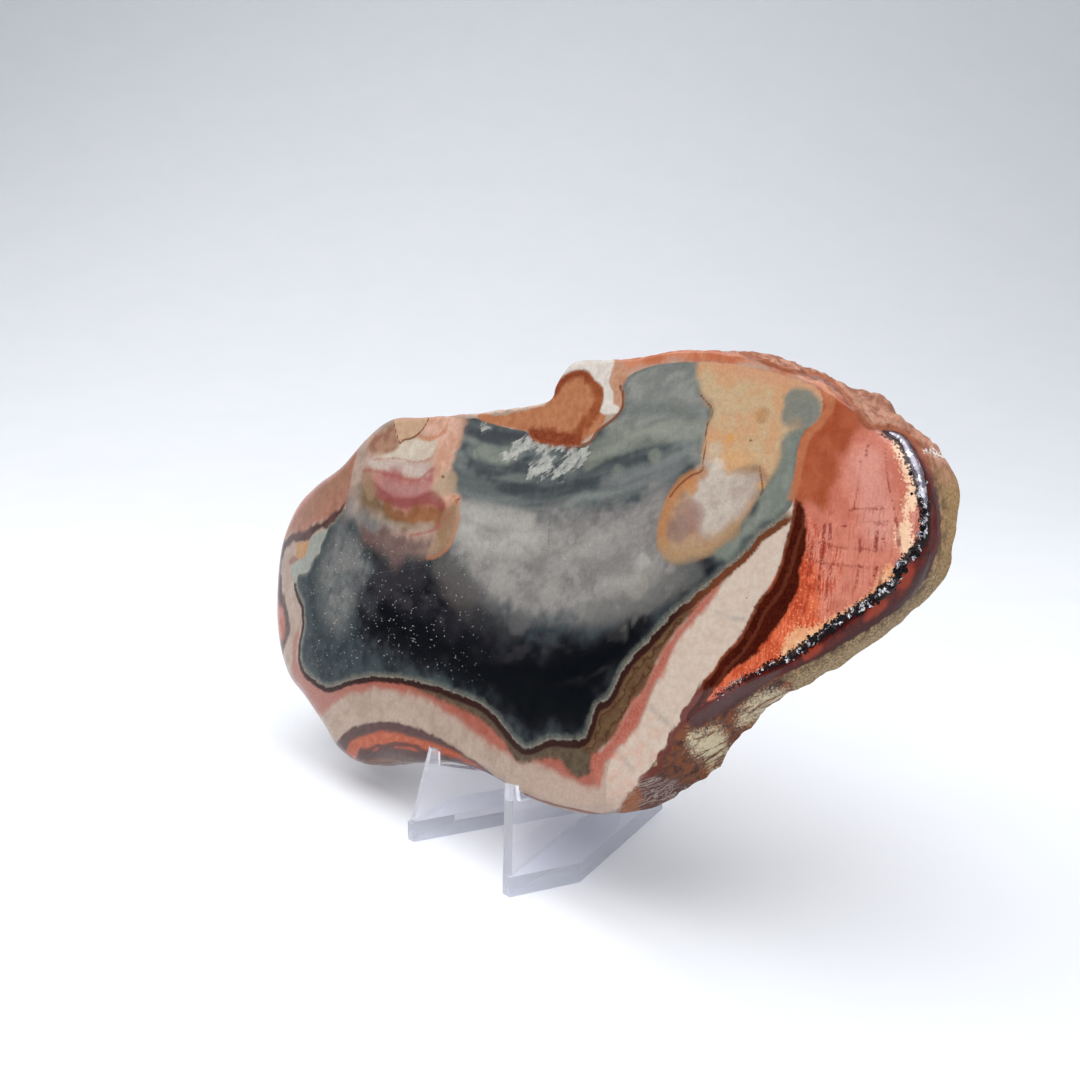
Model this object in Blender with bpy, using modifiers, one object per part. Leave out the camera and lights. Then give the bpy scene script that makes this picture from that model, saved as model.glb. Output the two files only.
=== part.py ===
"""Polished jasper slice on a clear plastic easel stand.

Units are metres, +Z is up, the stand faces -Y and the slice leans back
against it. Run with: blender --background --python part.py
"""
import math

import bmesh
import bpy
from mathutils import Matrix, Vector, noise

MM = 0.001

# stand
TIP_HALF_GAP = 13.0 * MM       # half the clear width between the front tips
WALL = 1.75 * MM               # thickness of the two upright walls
SPLAY = math.radians(18.0)     # angle of each wall from straight back, in plan
LEAN_IN = math.radians(6.6)    # how far each wall leans towards the other
FOOT_HEIGHT = 3.6 * MM         # thickness of the two foot flanges
FOOT_FRONT = 13.2 * MM         # length of a flange's front edge
FOOT_SIDE = 35.1 * MM          # length of a flange's outer edge
HEEL_LENGTH = 9.0 * MM         # raised rear end of each flange
HEEL_RISE = 1.2 * MM
FRONT_SLOPE = math.radians(11.2)
LIP_TOP = 18.3 * MM            # height of the retaining lips
LIP_DEPTH = 2.5 * MM
LIP_FALL = 0.7 * MM            # how far a lip's top drops towards the slice
LEDGE_HEIGHT = 14.7 * MM       # height of the ledge just behind the lip
BACKREST_TOP = 44.0 * MM
BACKREST_WIDTH = 2.6 * MM
SPINE_REAR = 46.3 * MM         # where the rear slope meets the foot
EDGE_ROUND = 0.25 * MM

# slice, in its own plane: x to the right, v up the face, d into the stone
LEAN = math.radians(15.0)      # how far the slice leans back
THICKNESS = 10.0 * MM
FACE_LEVEL = 16.3 * MM         # height where v = 0
FACE_SETBACK = 5.6 * MM       # distance of the face behind the tips at v = 0
GAP = 0.3 * MM                 # gap kept between touching pieces
BACK_CHAMFER = 1.0 * MM
BEND_START = -56.0 * MM        # left of this the face curves away
BEND_LENGTH = 36.0 * MM
BEND_DEPTH = 4.0 * MM
FACE_CENTRE = (6.0 * MM, 36.0 * MM)
SPOKES = 192
FACE_RINGS = (0.22, 0.42, 0.6, 0.75, 0.87, 0.95, 1.0)
ROLL_RINGS = 4
WALL_RINGS = 4
BACK_RINGS = (0.985, 0.8, 0.45)

# outline stations, clockwise from the notch, in millimetres:
# x, v, width of the rolled front edge, its depth, flare of the back, roughness
OUTLINE = (
    (-0.8, 68.8, 1.0, 1.5, 0.0, 0.0),
    (-0.9, 70.7, 1.5, 2.0, 0.0, 0.0),
    (0.5, 73.9, 2.0, 2.5, 0.0, 0.0),
    (3.5, 75.6, 1.5, 2.0, 0.0, 0.0),
    (12.0, 75.7, 0.8, 1.0, 0.0, 0.2),
    (20.0, 76.3, 0.8, 1.0, 0.5, 0.3),
    (27.0, 77.4, 0.8, 1.0, 1.0, 0.3),
    (35.9, 77.3, 0.8, 1.0, 1.6, 0.4),
    (44.7, 76.0, 0.8, 1.0, 1.6, 0.6),
    (53.0, 73.3, 0.8, 1.0, 1.4, 0.7),
    (60.3, 70.0, 0.8, 1.0, 2.0, 0.8),
    (66.6, 66.3, 1.2, 1.5, 1.4, 0.7),
    (72.5, 61.4, 2.0, 2.5, 1.0, 0.5),
    (74.4, 54.2, 2.5, 3.0, 0.2, 0.5),
    (74.7, 48.4, 2.5, 3.0, -0.4, 0.5),
    (71.4, 42.0, 2.5, 3.0, -1.2, 0.5),
    (65.2, 35.3, 2.5, 3.0, -1.2, 0.5),
    (58.4, 29.7, 2.5, 3.0, -1.0, 0.6),
    (53.1, 26.0, 3.0, 3.0, -0.6, 0.8),
    (47.7, 21.0, 6.0, 5.5, 0.0, 0.9),
    (43.0, 13.7, 6.0, 6.0, 0.0, 0.9),
    (38.5, 8.4, 3.5, 4.5, 0.0, 0.8),
    (33.8, 4.3, 2.0, 2.2, 0.0, 0.3),
    (26.0, 0.6, 2.0, 2.2, 0.0, 0.0),
    (14.0, -1.0, 2.0, 2.2, 0.0, 0.0),
    (-0.0, -0.2, 2.0, 2.2, 0.0, 0.0),
    (-11.8, -1.4, 2.0, 2.2, 0.0, 0.0),
    (-19.9, -3.9, 2.0, 2.2, 0.0, 0.0),
    (-29.3, -6.8, 4.0, 4.5, 0.0, 0.2),
    (-39.0, -9.9, 4.0, 4.5, 0.0, 0.2),
    (-47.4, -9.4, 4.0, 4.5, 0.0, 0.0),
    (-54.7, -6.3, 4.5, 4.5, 0.0, 0.0),
    (-64.4, -2.5, 4.5, 4.5, 0.0, 0.0),
    (-74.5, 0.5, 5.0, 4.5, 0.0, 0.0),
    (-83.9, 7.7, 5.0, 4.5, 0.0, 0.0),
    (-90.7, 18.2, 5.0, 4.5, 0.0, 0.0),
    (-93.6, 30.1, 5.0, 4.5, 0.0, 0.0),
    (-88.6, 40.0, 5.0, 4.5, 0.0, 0.0),
    (-79.8, 46.1, 5.0, 4.5, 0.0, 0.0),
    (-68.0, 51.5, 4.0, 4.0, 0.0, 0.0),
    (-59.7, 58.4, 4.0, 4.0, 0.0, 0.0),
    (-51.1, 62.6, 2.5, 3.0, 0.0, 0.0),
    (-40.0, 63.2, 1.2, 1.5, 0.0, 0.0),
    (-26.0, 64.4, 1.0, 1.2, 0.0, 0.4),
    (-14.0, 65.9, 1.0, 1.2, 0.0, 0.4),
    (-3.4, 67.6, 1.0, 1.5, 0.0, 0.0),
)


def clear_objects():
    for thing in list(bpy.data.objects):
        bpy.data.objects.remove(thing, do_unlink=True)


def make_material(name, colour, roughness, transmission=0.0, ior=1.5):
    material = bpy.data.materials.new(name)
    material.use_nodes = True
    shader = material.node_tree.nodes["Principled BSDF"]
    shader.inputs["Base Color"].default_value = colour
    shader.inputs["Roughness"].default_value = roughness
    shader.inputs["Metallic"].default_value = 0.0
    shader.inputs["Transmission Weight"].default_value = transmission
    shader.inputs["IOR"].default_value = ior
    return material


def mesh_object(name, mesh, collection=None):
    thing = bpy.data.objects.new(name, mesh)
    (collection or bpy.context.scene.collection).objects.link(thing)
    return thing


def flat_plate(name, outline, thickness):
    """A plate of the given outline, centred on its own z = 0."""
    curve = bpy.data.curves.new(name, "CURVE")
    curve.dimensions = "2D"
    curve.fill_mode = "BOTH"
    curve.extrude = thickness / 2
    spline = curve.splines.new("POLY")
    spline.points.add(len(outline) - 1)
    for point, (x, y) in zip(spline.points, outline):
        point.co = (x, y, 0.0, 1.0)
    spline.use_cyclic_u = True
    holder = mesh_object(name + "_outline", curve)
    graph = bpy.context.evaluated_depsgraph_get()
    mesh = bpy.data.meshes.new_from_object(holder.evaluated_get(graph))
    bpy.data.objects.remove(holder, do_unlink=True)
    work = bmesh.new()
    work.from_mesh(mesh)
    bmesh.ops.remove_doubles(work, verts=work.verts, dist=1e-6)
    bmesh.ops.recalc_face_normals(work, faces=work.faces)
    work.to_mesh(mesh)
    work.free()
    return mesh


def foot_plan():
    """Plan of the right foot, from the middle of the back round to the tip."""
    wall_run = WALL / math.cos(SPLAY)
    tip_outer = Vector((TIP_HALF_GAP + wall_run, 0.0))
    outward = Vector((math.sin(SPLAY), math.cos(SPLAY)))
    inward = Vector((-math.sin(SPLAY), math.cos(SPLAY)))
    corner = tip_outer + outward * FOOT_FRONT
    rear = corner + inward * FOOT_SIDE
    inner_apex = TIP_HALF_GAP / math.tan(SPLAY)
    past_middle = -0.5 * MM
    drift = past_middle * math.tan(SPLAY)
    return (
        (TIP_HALF_GAP, 0.0),
        tuple(tip_outer),
        tuple(corner),
        tuple(rear),
        (past_middle, rear.y + drift),
        (past_middle, inner_apex - past_middle / math.tan(SPLAY)),
    )


def heel_plan():
    """The raised strip along the rear end of the flange's outer edge."""
    corner, rear = (Vector(point) for point in foot_plan()[2:4])
    along = (rear - corner).normalized()
    across = Vector((-along.y, along.x))
    start = rear - along * HEEL_LENGTH
    inset = across * WALL
    return tuple(start), tuple(rear), tuple(rear + inset), tuple(start + inset)


def back_of_slice(height):
    """How far behind the tips the back of the slice is at a height."""
    face = FACE_SETBACK + (height - FACE_LEVEL) * math.tan(LEAN)
    return face + (THICKNESS + GAP) / math.cos(LEAN) + GAP


def wall_profile():
    """Side view of a wall: distance along the wall, and height."""
    def lean_back(height):
        return (height - FOOT_HEIGHT) * math.tan(FRONT_SLOPE)

    def on_wall(depth):
        return depth / math.cos(SPLAY)

    lip_rear = lean_back(LEDGE_HEIGHT) + LIP_DEPTH
    ledge_fall = math.tan(LEAN)
    rest_foot = on_wall(back_of_slice(LEDGE_HEIGHT))
    rest_foot_height = LEDGE_HEIGHT - (rest_foot - lip_rear) * ledge_fall
    rest_foot = on_wall(back_of_slice(rest_foot_height))
    rest_top = on_wall(back_of_slice(BACKREST_TOP))
    root = FOOT_HEIGHT - 1.0 * MM
    tuck = 0.1 * MM
    return (
        (tuck, root),
        (SPINE_REAR, root),
        (SPINE_REAR, FOOT_HEIGHT),
        (rest_top + BACKREST_WIDTH, BACKREST_TOP - 0.8 * MM),
        (rest_top + 0.7 * BACKREST_WIDTH, BACKREST_TOP),
        (rest_top + 0.2 * MM, BACKREST_TOP),
        (rest_foot, rest_foot_height),
        (lip_rear, LEDGE_HEIGHT),
        (lip_rear - 0.2 * MM, LIP_TOP - LIP_FALL),
        (lean_back(LIP_TOP), LIP_TOP),
        (tuck, FOOT_HEIGHT),
    )


def upright_wall():
    """The right wall, standing on the foot and leaning inwards."""
    mesh = flat_plate("wall", wall_profile(), WALL)
    along = Vector((-math.sin(SPLAY), math.cos(SPLAY), 0.0))
    outward = Vector((math.cos(SPLAY), math.sin(SPLAY), 0.0))
    for vertex in mesh.vertices:
        distance, height, side = vertex.co
        place = along * distance + outward * (side + WALL / 2)
        place.x += TIP_HALF_GAP
        place.x -= (height - FOOT_HEIGHT) * math.tan(LEAN_IN)
        place.z = height
        vertex.co = place
    return mesh


def union(target, tool):
    modifier = target.modifiers.new("union", "BOOLEAN")
    modifier.operation = "UNION"
    modifier.solver = "EXACT"
    modifier.object = tool


def mirrored(mesh):
    """The same piece on the left side."""
    other = mesh.copy()
    other.transform(Matrix.Diagonal((-1.0, 1.0, 1.0, 1.0)))
    other.flip_normals()
    return other


def build_stand(root):
    tools = bpy.data.collections.new("stand_cutters")
    bpy.context.scene.collection.children.link(tools)
    foot = flat_plate("foot", foot_plan(), FOOT_HEIGHT)
    foot.transform(Matrix.Translation((0.0, 0.0, FOOT_HEIGHT / 2)))
    heel = flat_plate("heel", heel_plan(), HEEL_RISE + 1.0 * MM)
    heel_middle = FOOT_HEIGHT + HEEL_RISE / 2 - 0.5 * MM
    heel.transform(Matrix.Translation((0.0, 0.0, heel_middle)))
    wall = upright_wall()
    stand = mesh_object("display_stand", foot)
    for name, mesh in (
        ("left_foot", mirrored(foot)),
        ("right_wall", wall),
        ("left_wall", mirrored(wall)),
        ("right_heel", heel),
        ("left_heel", mirrored(heel)),
    ):
        tool = mesh_object(name, mesh, tools)
        tool.hide_render = True
        tool.display_type = "WIRE"
        tool.parent = root
        union(stand, tool)
    weld = stand.modifiers.new("weld", "WELD")
    weld.merge_threshold = 0.00002
    bevel = stand.modifiers.new("soft_edges", "BEVEL")
    bevel.width = EDGE_ROUND
    bevel.segments = 1
    bevel.limit_method = "ANGLE"
    bevel.angle_limit = math.radians(40)
    stand.parent = root
    clear = make_material("clear_plastic", (0.93, 0.94, 0.98, 1.0), 0.04, 1.0, 1.49)
    stand.data.materials.append(clear)
    return stand


def smooth_station(position):
    """A station between two outline stations, on a smooth curve."""
    count = len(OUTLINE)
    index = int(position) % count
    part = position - int(position)
    before, first, second, after = (OUTLINE[(index + step) % count] for step in (-1, 0, 1, 2))
    values = []
    for a, b, c, d in zip(before, first, second, after):
        bend = 2 * a - 5 * b + 4 * c - d
        curl = 3 * (b - c) + d - a
        values.append(b + 0.5 * part * (c - a + part * (bend + part * curl)))
    return [value * MM for value in values]


def spaced_stations():
    """Stations at even distances round the outline."""
    steps = 24 * len(OUTLINE)
    fine = [smooth_station(step * len(OUTLINE) / steps) for step in range(steps)]
    lengths = [0.0]
    for here, there in zip(fine, fine[1:] + fine[:1]):
        lengths.append(lengths[-1] + math.hypot(there[0] - here[0], there[1] - here[1]))
    spaced = []
    cursor = 0
    for spoke in range(SPOKES):
        wanted = lengths[-1] * spoke / SPOKES
        while lengths[cursor + 1] < wanted:
            cursor += 1
        spaced.append(fine[cursor])
    return spaced


def bend_depth(x):
    """How far the face has curved back at x."""
    past = max(0.0, BEND_START - x) / BEND_LENGTH
    return BEND_DEPTH * past * past


def edge_rows():
    """Rows from the middle of the face, over the edge, to the back's middle."""
    rows = [("face", part) for part in FACE_RINGS]
    rows += [("roll", (step + 1) / ROLL_RINGS) for step in range(ROLL_RINGS)]
    rows += [("wall", (step + 1) / WALL_RINGS) for step in range(WALL_RINGS)]
    rows += [("back", part) for part in BACK_RINGS]
    return rows


def slice_point(row, spoke, stations):
    """Place of one vertex of the slice: x, depth into the stone, and v."""
    x, v, roll_width, roll_depth, flare, rough = stations[spoke]
    ahead = stations[(spoke + 2) % SPOKES]
    behind = stations[(spoke - 2) % SPOKES]
    run = Vector((ahead[0] - behind[0], ahead[1] - behind[1])).normalized()
    out = Vector((-run.y, run.x))
    rim = Vector((x, v))
    middle = Vector(FACE_CENTRE)
    kind, part = row
    if kind == "face":
        place = middle.lerp(rim - out * roll_width, part)
        depth = 0.0
    elif kind == "roll":
        turn = part * math.pi / 2
        place = rim - out * roll_width * (1 - math.sin(turn))
        depth = roll_depth * (1 - math.cos(turn))
    elif kind == "wall":
        place = rim + out * flare * part
        depth = roll_depth + (THICKNESS - BACK_CHAMFER - roll_depth) * part
    else:
        shrunk = rim + out * (flare - BACK_CHAMFER)
        place = middle.lerp(shrunk, part)
        depth = THICKNESS
    if kind in ("roll", "wall"):
        spot = Vector((place.x, depth, place.y)) / (3.2 * MM)
        place += out * (rough * noise.noise(spot) * 1.4)
    curved = bend_depth(place.x)
    depth = curved + depth * (1 - curved / THICKNESS)
    return Vector((place.x, depth, place.y))


def build_slice(root):
    rows = edge_rows()
    stations = spaced_stations()
    work = bmesh.new()
    bmesh.ops.create_uvsphere(work, u_segments=SPOKES, v_segments=len(rows) + 1, radius=1.0)
    for vertex in work.verts:
        angle = math.atan2(vertex.co.y, vertex.co.x)
        tilt = math.acos(max(-1.0, min(1.0, vertex.co.z)))
        row = round(tilt / math.pi * (len(rows) + 1)) - 1
        spoke = round(angle / math.tau * SPOKES) % SPOKES
        if 0 <= row < len(rows):
            vertex.co = slice_point(rows[row], spoke, stations)
        else:
            depth = 0.0 if row < 0 else THICKNESS
            vertex.co = (FACE_CENTRE[0], depth, FACE_CENTRE[1])
    bmesh.ops.recalc_face_normals(work, faces=work.faces)
    mesh = bpy.data.meshes.new("jasper_slice")
    work.to_mesh(mesh)
    work.free()
    mesh.shade_smooth()
    stone = mesh_object("jasper_slice", mesh)
    stone.location = (0.0, FACE_SETBACK, FACE_LEVEL)
    stone.rotation_euler = (-LEAN, 0.0, 0.0)
    stone.parent = root
    mesh.materials.append(make_material("polished_jasper", (0.30, 0.20, 0.16, 1.0), 0.25))
    return stone


def centre_on_origin(root, things):
    """Put the middle of the whole object's underside at the origin."""
    bpy.context.view_layer.update()
    graph = bpy.context.evaluated_depsgraph_get()
    corners = []
    for thing in things:
        shown = thing.evaluated_get(graph)
        corners += [shown.matrix_world @ vertex.co for vertex in shown.data.vertices]
    low = [min(corner[axis] for corner in corners) for axis in range(3)]
    high = [max(corner[axis] for corner in corners) for axis in range(3)]
    root.location = (-(low[0] + high[0]) / 2, -(low[1] + high[1]) / 2, -low[2])
    bpy.context.view_layer.update()


def main():
    clear_objects()
    root = bpy.data.objects.new("whole_object", None)
    bpy.context.scene.collection.objects.link(root)
    stand = build_stand(root)
    stone = build_slice(root)
    centre_on_origin(root, (stand, stone))


main()
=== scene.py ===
import math

import bmesh
import bpy
import numpy as np
from mathutils import Matrix, Vector, noise
from mathutils.bvhtree import BVHTree


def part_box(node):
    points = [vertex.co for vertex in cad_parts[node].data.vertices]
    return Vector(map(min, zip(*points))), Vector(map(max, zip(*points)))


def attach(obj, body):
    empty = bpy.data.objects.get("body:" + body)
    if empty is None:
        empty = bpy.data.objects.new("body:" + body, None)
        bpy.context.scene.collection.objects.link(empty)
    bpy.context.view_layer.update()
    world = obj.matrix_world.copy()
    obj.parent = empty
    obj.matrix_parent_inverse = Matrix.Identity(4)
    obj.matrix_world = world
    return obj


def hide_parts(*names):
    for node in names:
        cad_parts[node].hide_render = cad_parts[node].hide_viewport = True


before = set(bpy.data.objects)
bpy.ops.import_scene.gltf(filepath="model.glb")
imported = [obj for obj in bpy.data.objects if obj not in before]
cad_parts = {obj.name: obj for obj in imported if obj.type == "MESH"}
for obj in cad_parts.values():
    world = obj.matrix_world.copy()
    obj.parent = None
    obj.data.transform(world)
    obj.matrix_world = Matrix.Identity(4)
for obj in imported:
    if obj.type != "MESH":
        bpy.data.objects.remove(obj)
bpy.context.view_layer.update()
mm = 0.001


# shared helpers

def paintColour(red, green, blue):
    # screen colour 0 to 255, as the linear colour that a shader wants
    linear = []
    for value in (red, green, blue):
        share = value / 255
        linear.append(share / 12.92 if share <= 0.04045 else ((share + 0.055) / 1.055) ** 2.4)
    return (*linear, 1.0)


def addNode(tree, kind, inputs=None, **settings):
    # inputs holds plain values or sockets, by socket name or number
    node = tree.nodes.new(kind)
    for name, value in settings.items():
        setattr(node, name, value)
    for key, value in (inputs or {}).items():
        if isinstance(value, bpy.types.NodeSocket):
            tree.links.new(value, node.inputs[key])
        else:
            node.inputs[key].default_value = value
    return node


def doMath(tree, operation, first, second=0.0, third=0.0):
    node = addNode(tree, "ShaderNodeMath", {0: first, 1: second, 2: third}, operation=operation)
    return node.outputs[0]


def layOver(tree, under, over, mask):
    # one colour laid over another where the mask is 1
    node = addNode(tree, "ShaderNodeMix", {0: mask, 6: under, 7: over}, data_type="RGBA")
    return node.outputs[2]


def stepBetween(tree, value, low, high, bottom=0.0, top=1.0):
    # smooth change from bottom to top while value goes from low to high
    node = addNode(tree, "ShaderNodeMapRange", {0: value, 1: low, 2: high, 3: bottom, 4: top},
                   interpolation_type="SMOOTHSTEP")
    return node.outputs[0]


def noiseField(tree, place, scale, detail=2.0, roughness=0.5, distortion=0.0):
    node = addNode(tree, "ShaderNodeTexNoise", {"Vector": place, "Scale": scale, "Detail": detail,
                   "Roughness": roughness, "Distortion": distortion})
    return node.outputs["Fac"]


def stretched(tree, place, size, turn=0.0):
    # long streaks: size is how far a pattern is drawn out along each turned axis
    node = addNode(tree, "ShaderNodeMapping", {"Vector": place, "Scale": size, "Rotation": (0, 0, turn)},
                   vector_type="TEXTURE")
    return node.outputs[0]


def newMaterial(name):
    material = bpy.data.materials.new(name)
    material.use_nodes = True
    return material, material.node_tree, material.node_tree.nodes["Principled BSDF"]


def meshPiece(name, work):
    mesh = bpy.data.meshes.new(name)
    work.to_mesh(mesh)
    work.free()
    piece = bpy.data.objects.new(name, mesh)
    bpy.context.scene.collection.objects.link(piece)
    return piece


def polishGroup():
    # faint smears and fine scratches, which change roughness and height a little
    group = bpy.data.node_groups.new("polishWear", "ShaderNodeTree")
    for name, kind in (("Place", "NodeSocketVector"), ("Polish", "NodeSocketFloat"),
                       ("Smear", "NodeSocketFloat"), ("Size", "NodeSocketFloat")):
        group.interface.new_socket(name, in_out="INPUT", socket_type=kind)
    for name in ("Roughness", "Height"):
        group.interface.new_socket(name, in_out="OUTPUT", socket_type="NodeSocketFloat")
    start = group.nodes.new("NodeGroupInput")
    end = group.nodes.new("NodeGroupOutput")
    broad = noiseField(group, start.outputs["Place"], start.outputs["Size"], 2.0, 0.6)
    fineSize = doMath(group, "MULTIPLY", start.outputs["Size"], 9.0)
    fine = noiseField(group, start.outputs["Place"], fineSize, 2.0, 0.6)
    smear = doMath(group, "MULTIPLY", doMath(group, "SUBTRACT", broad, 0.45), start.outputs["Smear"])
    fineSmear = doMath(group, "MULTIPLY", doMath(group, "SUBTRACT", fine, 0.5), start.outputs["Smear"])
    total = doMath(group, "ADD", smear, doMath(group, "MULTIPLY", fineSmear, 0.5))
    group.links.new(doMath(group, "ADD", total, start.outputs["Polish"]), end.inputs["Roughness"])
    group.links.new(doMath(group, "MULTIPLY_ADD", fine, 0.4, broad), end.inputs["Height"])
    return group


polishWear = polishGroup()


def addPolish(tree, place, polish, smear, size):
    node = addNode(tree, "ShaderNodeGroup", node_tree=polishWear)
    tree.links.new(place, node.inputs["Place"])
    node.inputs["Polish"].default_value = polish
    node.inputs["Smear"].default_value = smear
    node.inputs["Size"].default_value = size
    return node.outputs["Roughness"], node.outputs["Height"]


# jasper slice: x to the right, v up the face, d into the stone, all in millimetres

jasperSlice = {
    "lean": math.radians(15.0),
    "thickness": 10.0,
    "faceLevel": 16.3,       # height of v = 0
    "faceSetback": 5.6,      # face behind the stand's tips at v = 0
    "backChamfer": 1.0,
    "bendStart": -56.0,      # left of this the face curves away
    "bendLength": 36.0,
    "bendDepth": 4.0,
    "spine": ((-55.0, 27.0), (44.0, 50.0)),   # the face's rows of vertices close on this line
    "spokes": 640,
    "faceRows": 88,
    "rollRows": 12,
    "wallRows": 26,
    "backRows": 24,
    "rowEase": 1.12,         # rows draw closer towards the edge
    "innerShare": 0.0003,    # how far from the spine the innermost row stays
    "layerFan": (144.0, 42.0, 130.0),     # the stone's layers spread from this point in front of it
    "lumps": ((1.4, 3.2), (0.5, 1.3), (0.25, 0.6)),     # height and size of the rough edge's lumps
    "lumpSink": 0.15,                     # and how far they are sunk
}

# x, v, width of the rolled front edge, its depth, flare of the back, roughness; clockwise from the notch
rimStations = (
    (-0.8, 68.8, 1.0, 1.5, 0.0, 0.0), (-0.9, 70.7, 1.5, 2.0, 0.0, 0.0),
    (0.5, 73.9, 2.0, 2.5, 0.0, 0.0), (3.5, 75.6, 1.5, 2.0, 0.0, 0.0),
    (12.0, 75.7, 0.8, 1.0, 0.0, 0.2), (20.0, 76.3, 0.8, 1.0, 0.5, 0.3),
    (27.0, 77.4, 0.8, 1.0, 1.0, 0.3), (35.9, 77.3, 0.8, 1.0, 1.6, 0.4),
    (44.7, 76.0, 0.8, 1.0, 1.6, 0.6), (53.0, 73.3, 0.8, 1.0, 1.4, 0.7),
    (60.3, 70.0, 0.8, 1.0, 2.0, 0.8), (66.6, 66.3, 1.2, 1.5, 1.4, 0.7),
    (72.5, 61.4, 2.0, 2.5, 1.0, 0.3), (74.4, 54.2, 2.5, 3.0, 0.2, 0.25),
    (74.7, 48.4, 2.5, 3.0, -0.4, 0.2), (71.4, 42.0, 2.5, 3.0, -1.2, 0.2),
    (65.2, 35.3, 2.5, 3.0, -1.2, 0.2), (58.4, 29.7, 2.5, 3.0, -1.0, 0.3),
    (53.1, 26.0, 3.0, 3.0, -0.6, 0.5), (47.7, 21.0, 6.0, 5.5, 0.6, 0.6),
    (43.0, 13.7, 6.0, 6.0, 0.8, 0.6), (38.5, 8.4, 3.5, 4.5, 0.4, 0.5),
    (33.8, 4.3, 2.0, 2.2, 0.0, 0.3), (26.0, 0.6, 2.0, 2.2, 0.0, 0.0),
    (14.0, -1.0, 2.0, 2.2, 0.0, 0.0), (0.0, -0.2, 2.0, 2.2, 0.0, 0.0),
    (-11.8, -1.4, 2.0, 2.2, 0.0, 0.0), (-19.9, -3.9, 2.0, 2.2, 0.0, 0.0),
    (-29.3, -6.8, 4.0, 4.5, 0.0, 0.2), (-39.0, -9.9, 4.0, 4.5, 0.0, 0.2),
    (-47.4, -9.4, 4.0, 4.5, 0.0, 0.0), (-54.7, -6.3, 4.5, 4.5, 0.0, 0.0),
    (-64.4, -2.5, 4.5, 4.5, 0.0, 0.0), (-74.5, 0.5, 5.0, 4.5, 0.0, 0.0),
    (-83.9, 7.7, 5.0, 4.5, 0.0, 0.0), (-90.7, 18.2, 5.0, 4.5, 0.0, 0.0),
    (-93.6, 30.1, 5.0, 4.5, 0.0, 0.0), (-88.6, 40.0, 5.0, 4.5, 0.0, 0.0),
    (-79.8, 46.1, 5.0, 4.5, 0.0, 0.0), (-68.0, 51.5, 4.0, 4.0, 0.0, 0.0),
    (-59.7, 58.4, 4.0, 4.0, 0.0, 0.0), (-51.1, 62.6, 2.5, 3.0, 0.0, 0.0),
    (-40.0, 63.2, 1.2, 1.5, 0.0, 0.0), (-26.0, 64.4, 1.0, 1.2, 0.0, 0.4),
    (-14.0, 65.9, 1.0, 1.2, 0.0, 0.4), (-3.4, 67.6, 1.0, 1.5, 0.0, 0.0),
)


def throughPoints(points, closed, steps):
    # a smooth curve through given points, as rows of values
    rows = np.array(points, float)
    count = len(rows)
    spans = count if closed else count - 1
    out = []
    for index in range(spans):
        picks = [index - 1, index, index + 1, index + 2]
        picks = [pick % count if closed else min(max(pick, 0), count - 1) for pick in picks]
        a, b, c, d = rows[picks]
        for part in np.arange(steps) / steps:
            bend = 2 * a - 5 * b + 4 * c - d
            curl = 3 * (b - c) + d - a
            out.append(b + 0.5 * part * (c - a + part * (bend + part * curl)))
    if not closed:
        out.append(rows[-1])
    return np.array(out)


def evenRim(spokes):
    # rim stations at even distances round the slice, with the direction that points out of it
    fine = throughPoints(rimStations, True, 24)
    gaps = np.linalg.norm(np.roll(fine, -1, 0)[:, :2] - fine[:, :2], axis=1)
    run = np.concatenate([[0.0], np.cumsum(gaps)])
    wanted = run[-1] * np.arange(spokes) / spokes
    looped = np.vstack([fine, fine[:1]])
    even = np.stack([np.interp(wanted, run, looped[:, axis]) for axis in range(6)], axis=1)
    reach = 4        # spokes on each side that give the rim's direction
    ahead, behind = np.roll(even, -reach, 0)[:, :2], np.roll(even, reach, 0)[:, :2]
    along = (ahead - behind) / np.linalg.norm(ahead - behind, axis=1)[:, None]
    return even, np.stack([-along[:, 1], along[:, 0]], axis=1)


def bendDepth(x):
    past = max(0.0, jasperSlice["bendStart"] - x) / jasperSlice["bendLength"]
    return jasperSlice["bendDepth"] * past * past


def spinePoint(x, v):
    # the place on the spine nearest to a rim point
    first, last = (np.array(end) for end in jasperSlice["spine"])
    run = last - first
    share = np.dot(np.array((x, v)) - first, run) / np.dot(run, run)
    slack, pull = 0.15, 1.7      # how far past its ends it counts, how much it draws to them
    share = min(max(share, -slack), 1 + slack)
    eased = 0.5 + 0.5 * math.tanh(pull * (share - 0.5)) / math.tanh(pull * (0.5 + slack))
    return first + run * eased


def sliceRows():
    # rows from the middle of the face, over the edge, to the back's middle
    faceRows, backRows = jasperSlice["faceRows"], jasperSlice["backRows"]
    rows = [("face", jasperSlice["innerShare"])]
    rows += [("face", 1 - (1 - step / faceRows) ** jasperSlice["rowEase"]) for step in range(1, faceRows + 1)]
    rows += [("roll", step / jasperSlice["rollRows"]) for step in range(1, jasperSlice["rollRows"] + 1)]
    rows += [("wall", step / jasperSlice["wallRows"]) for step in range(1, jasperSlice["wallRows"] + 1)]
    rows += [("back", 1 - step / backRows) for step in range(backRows)]
    return rows


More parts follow.
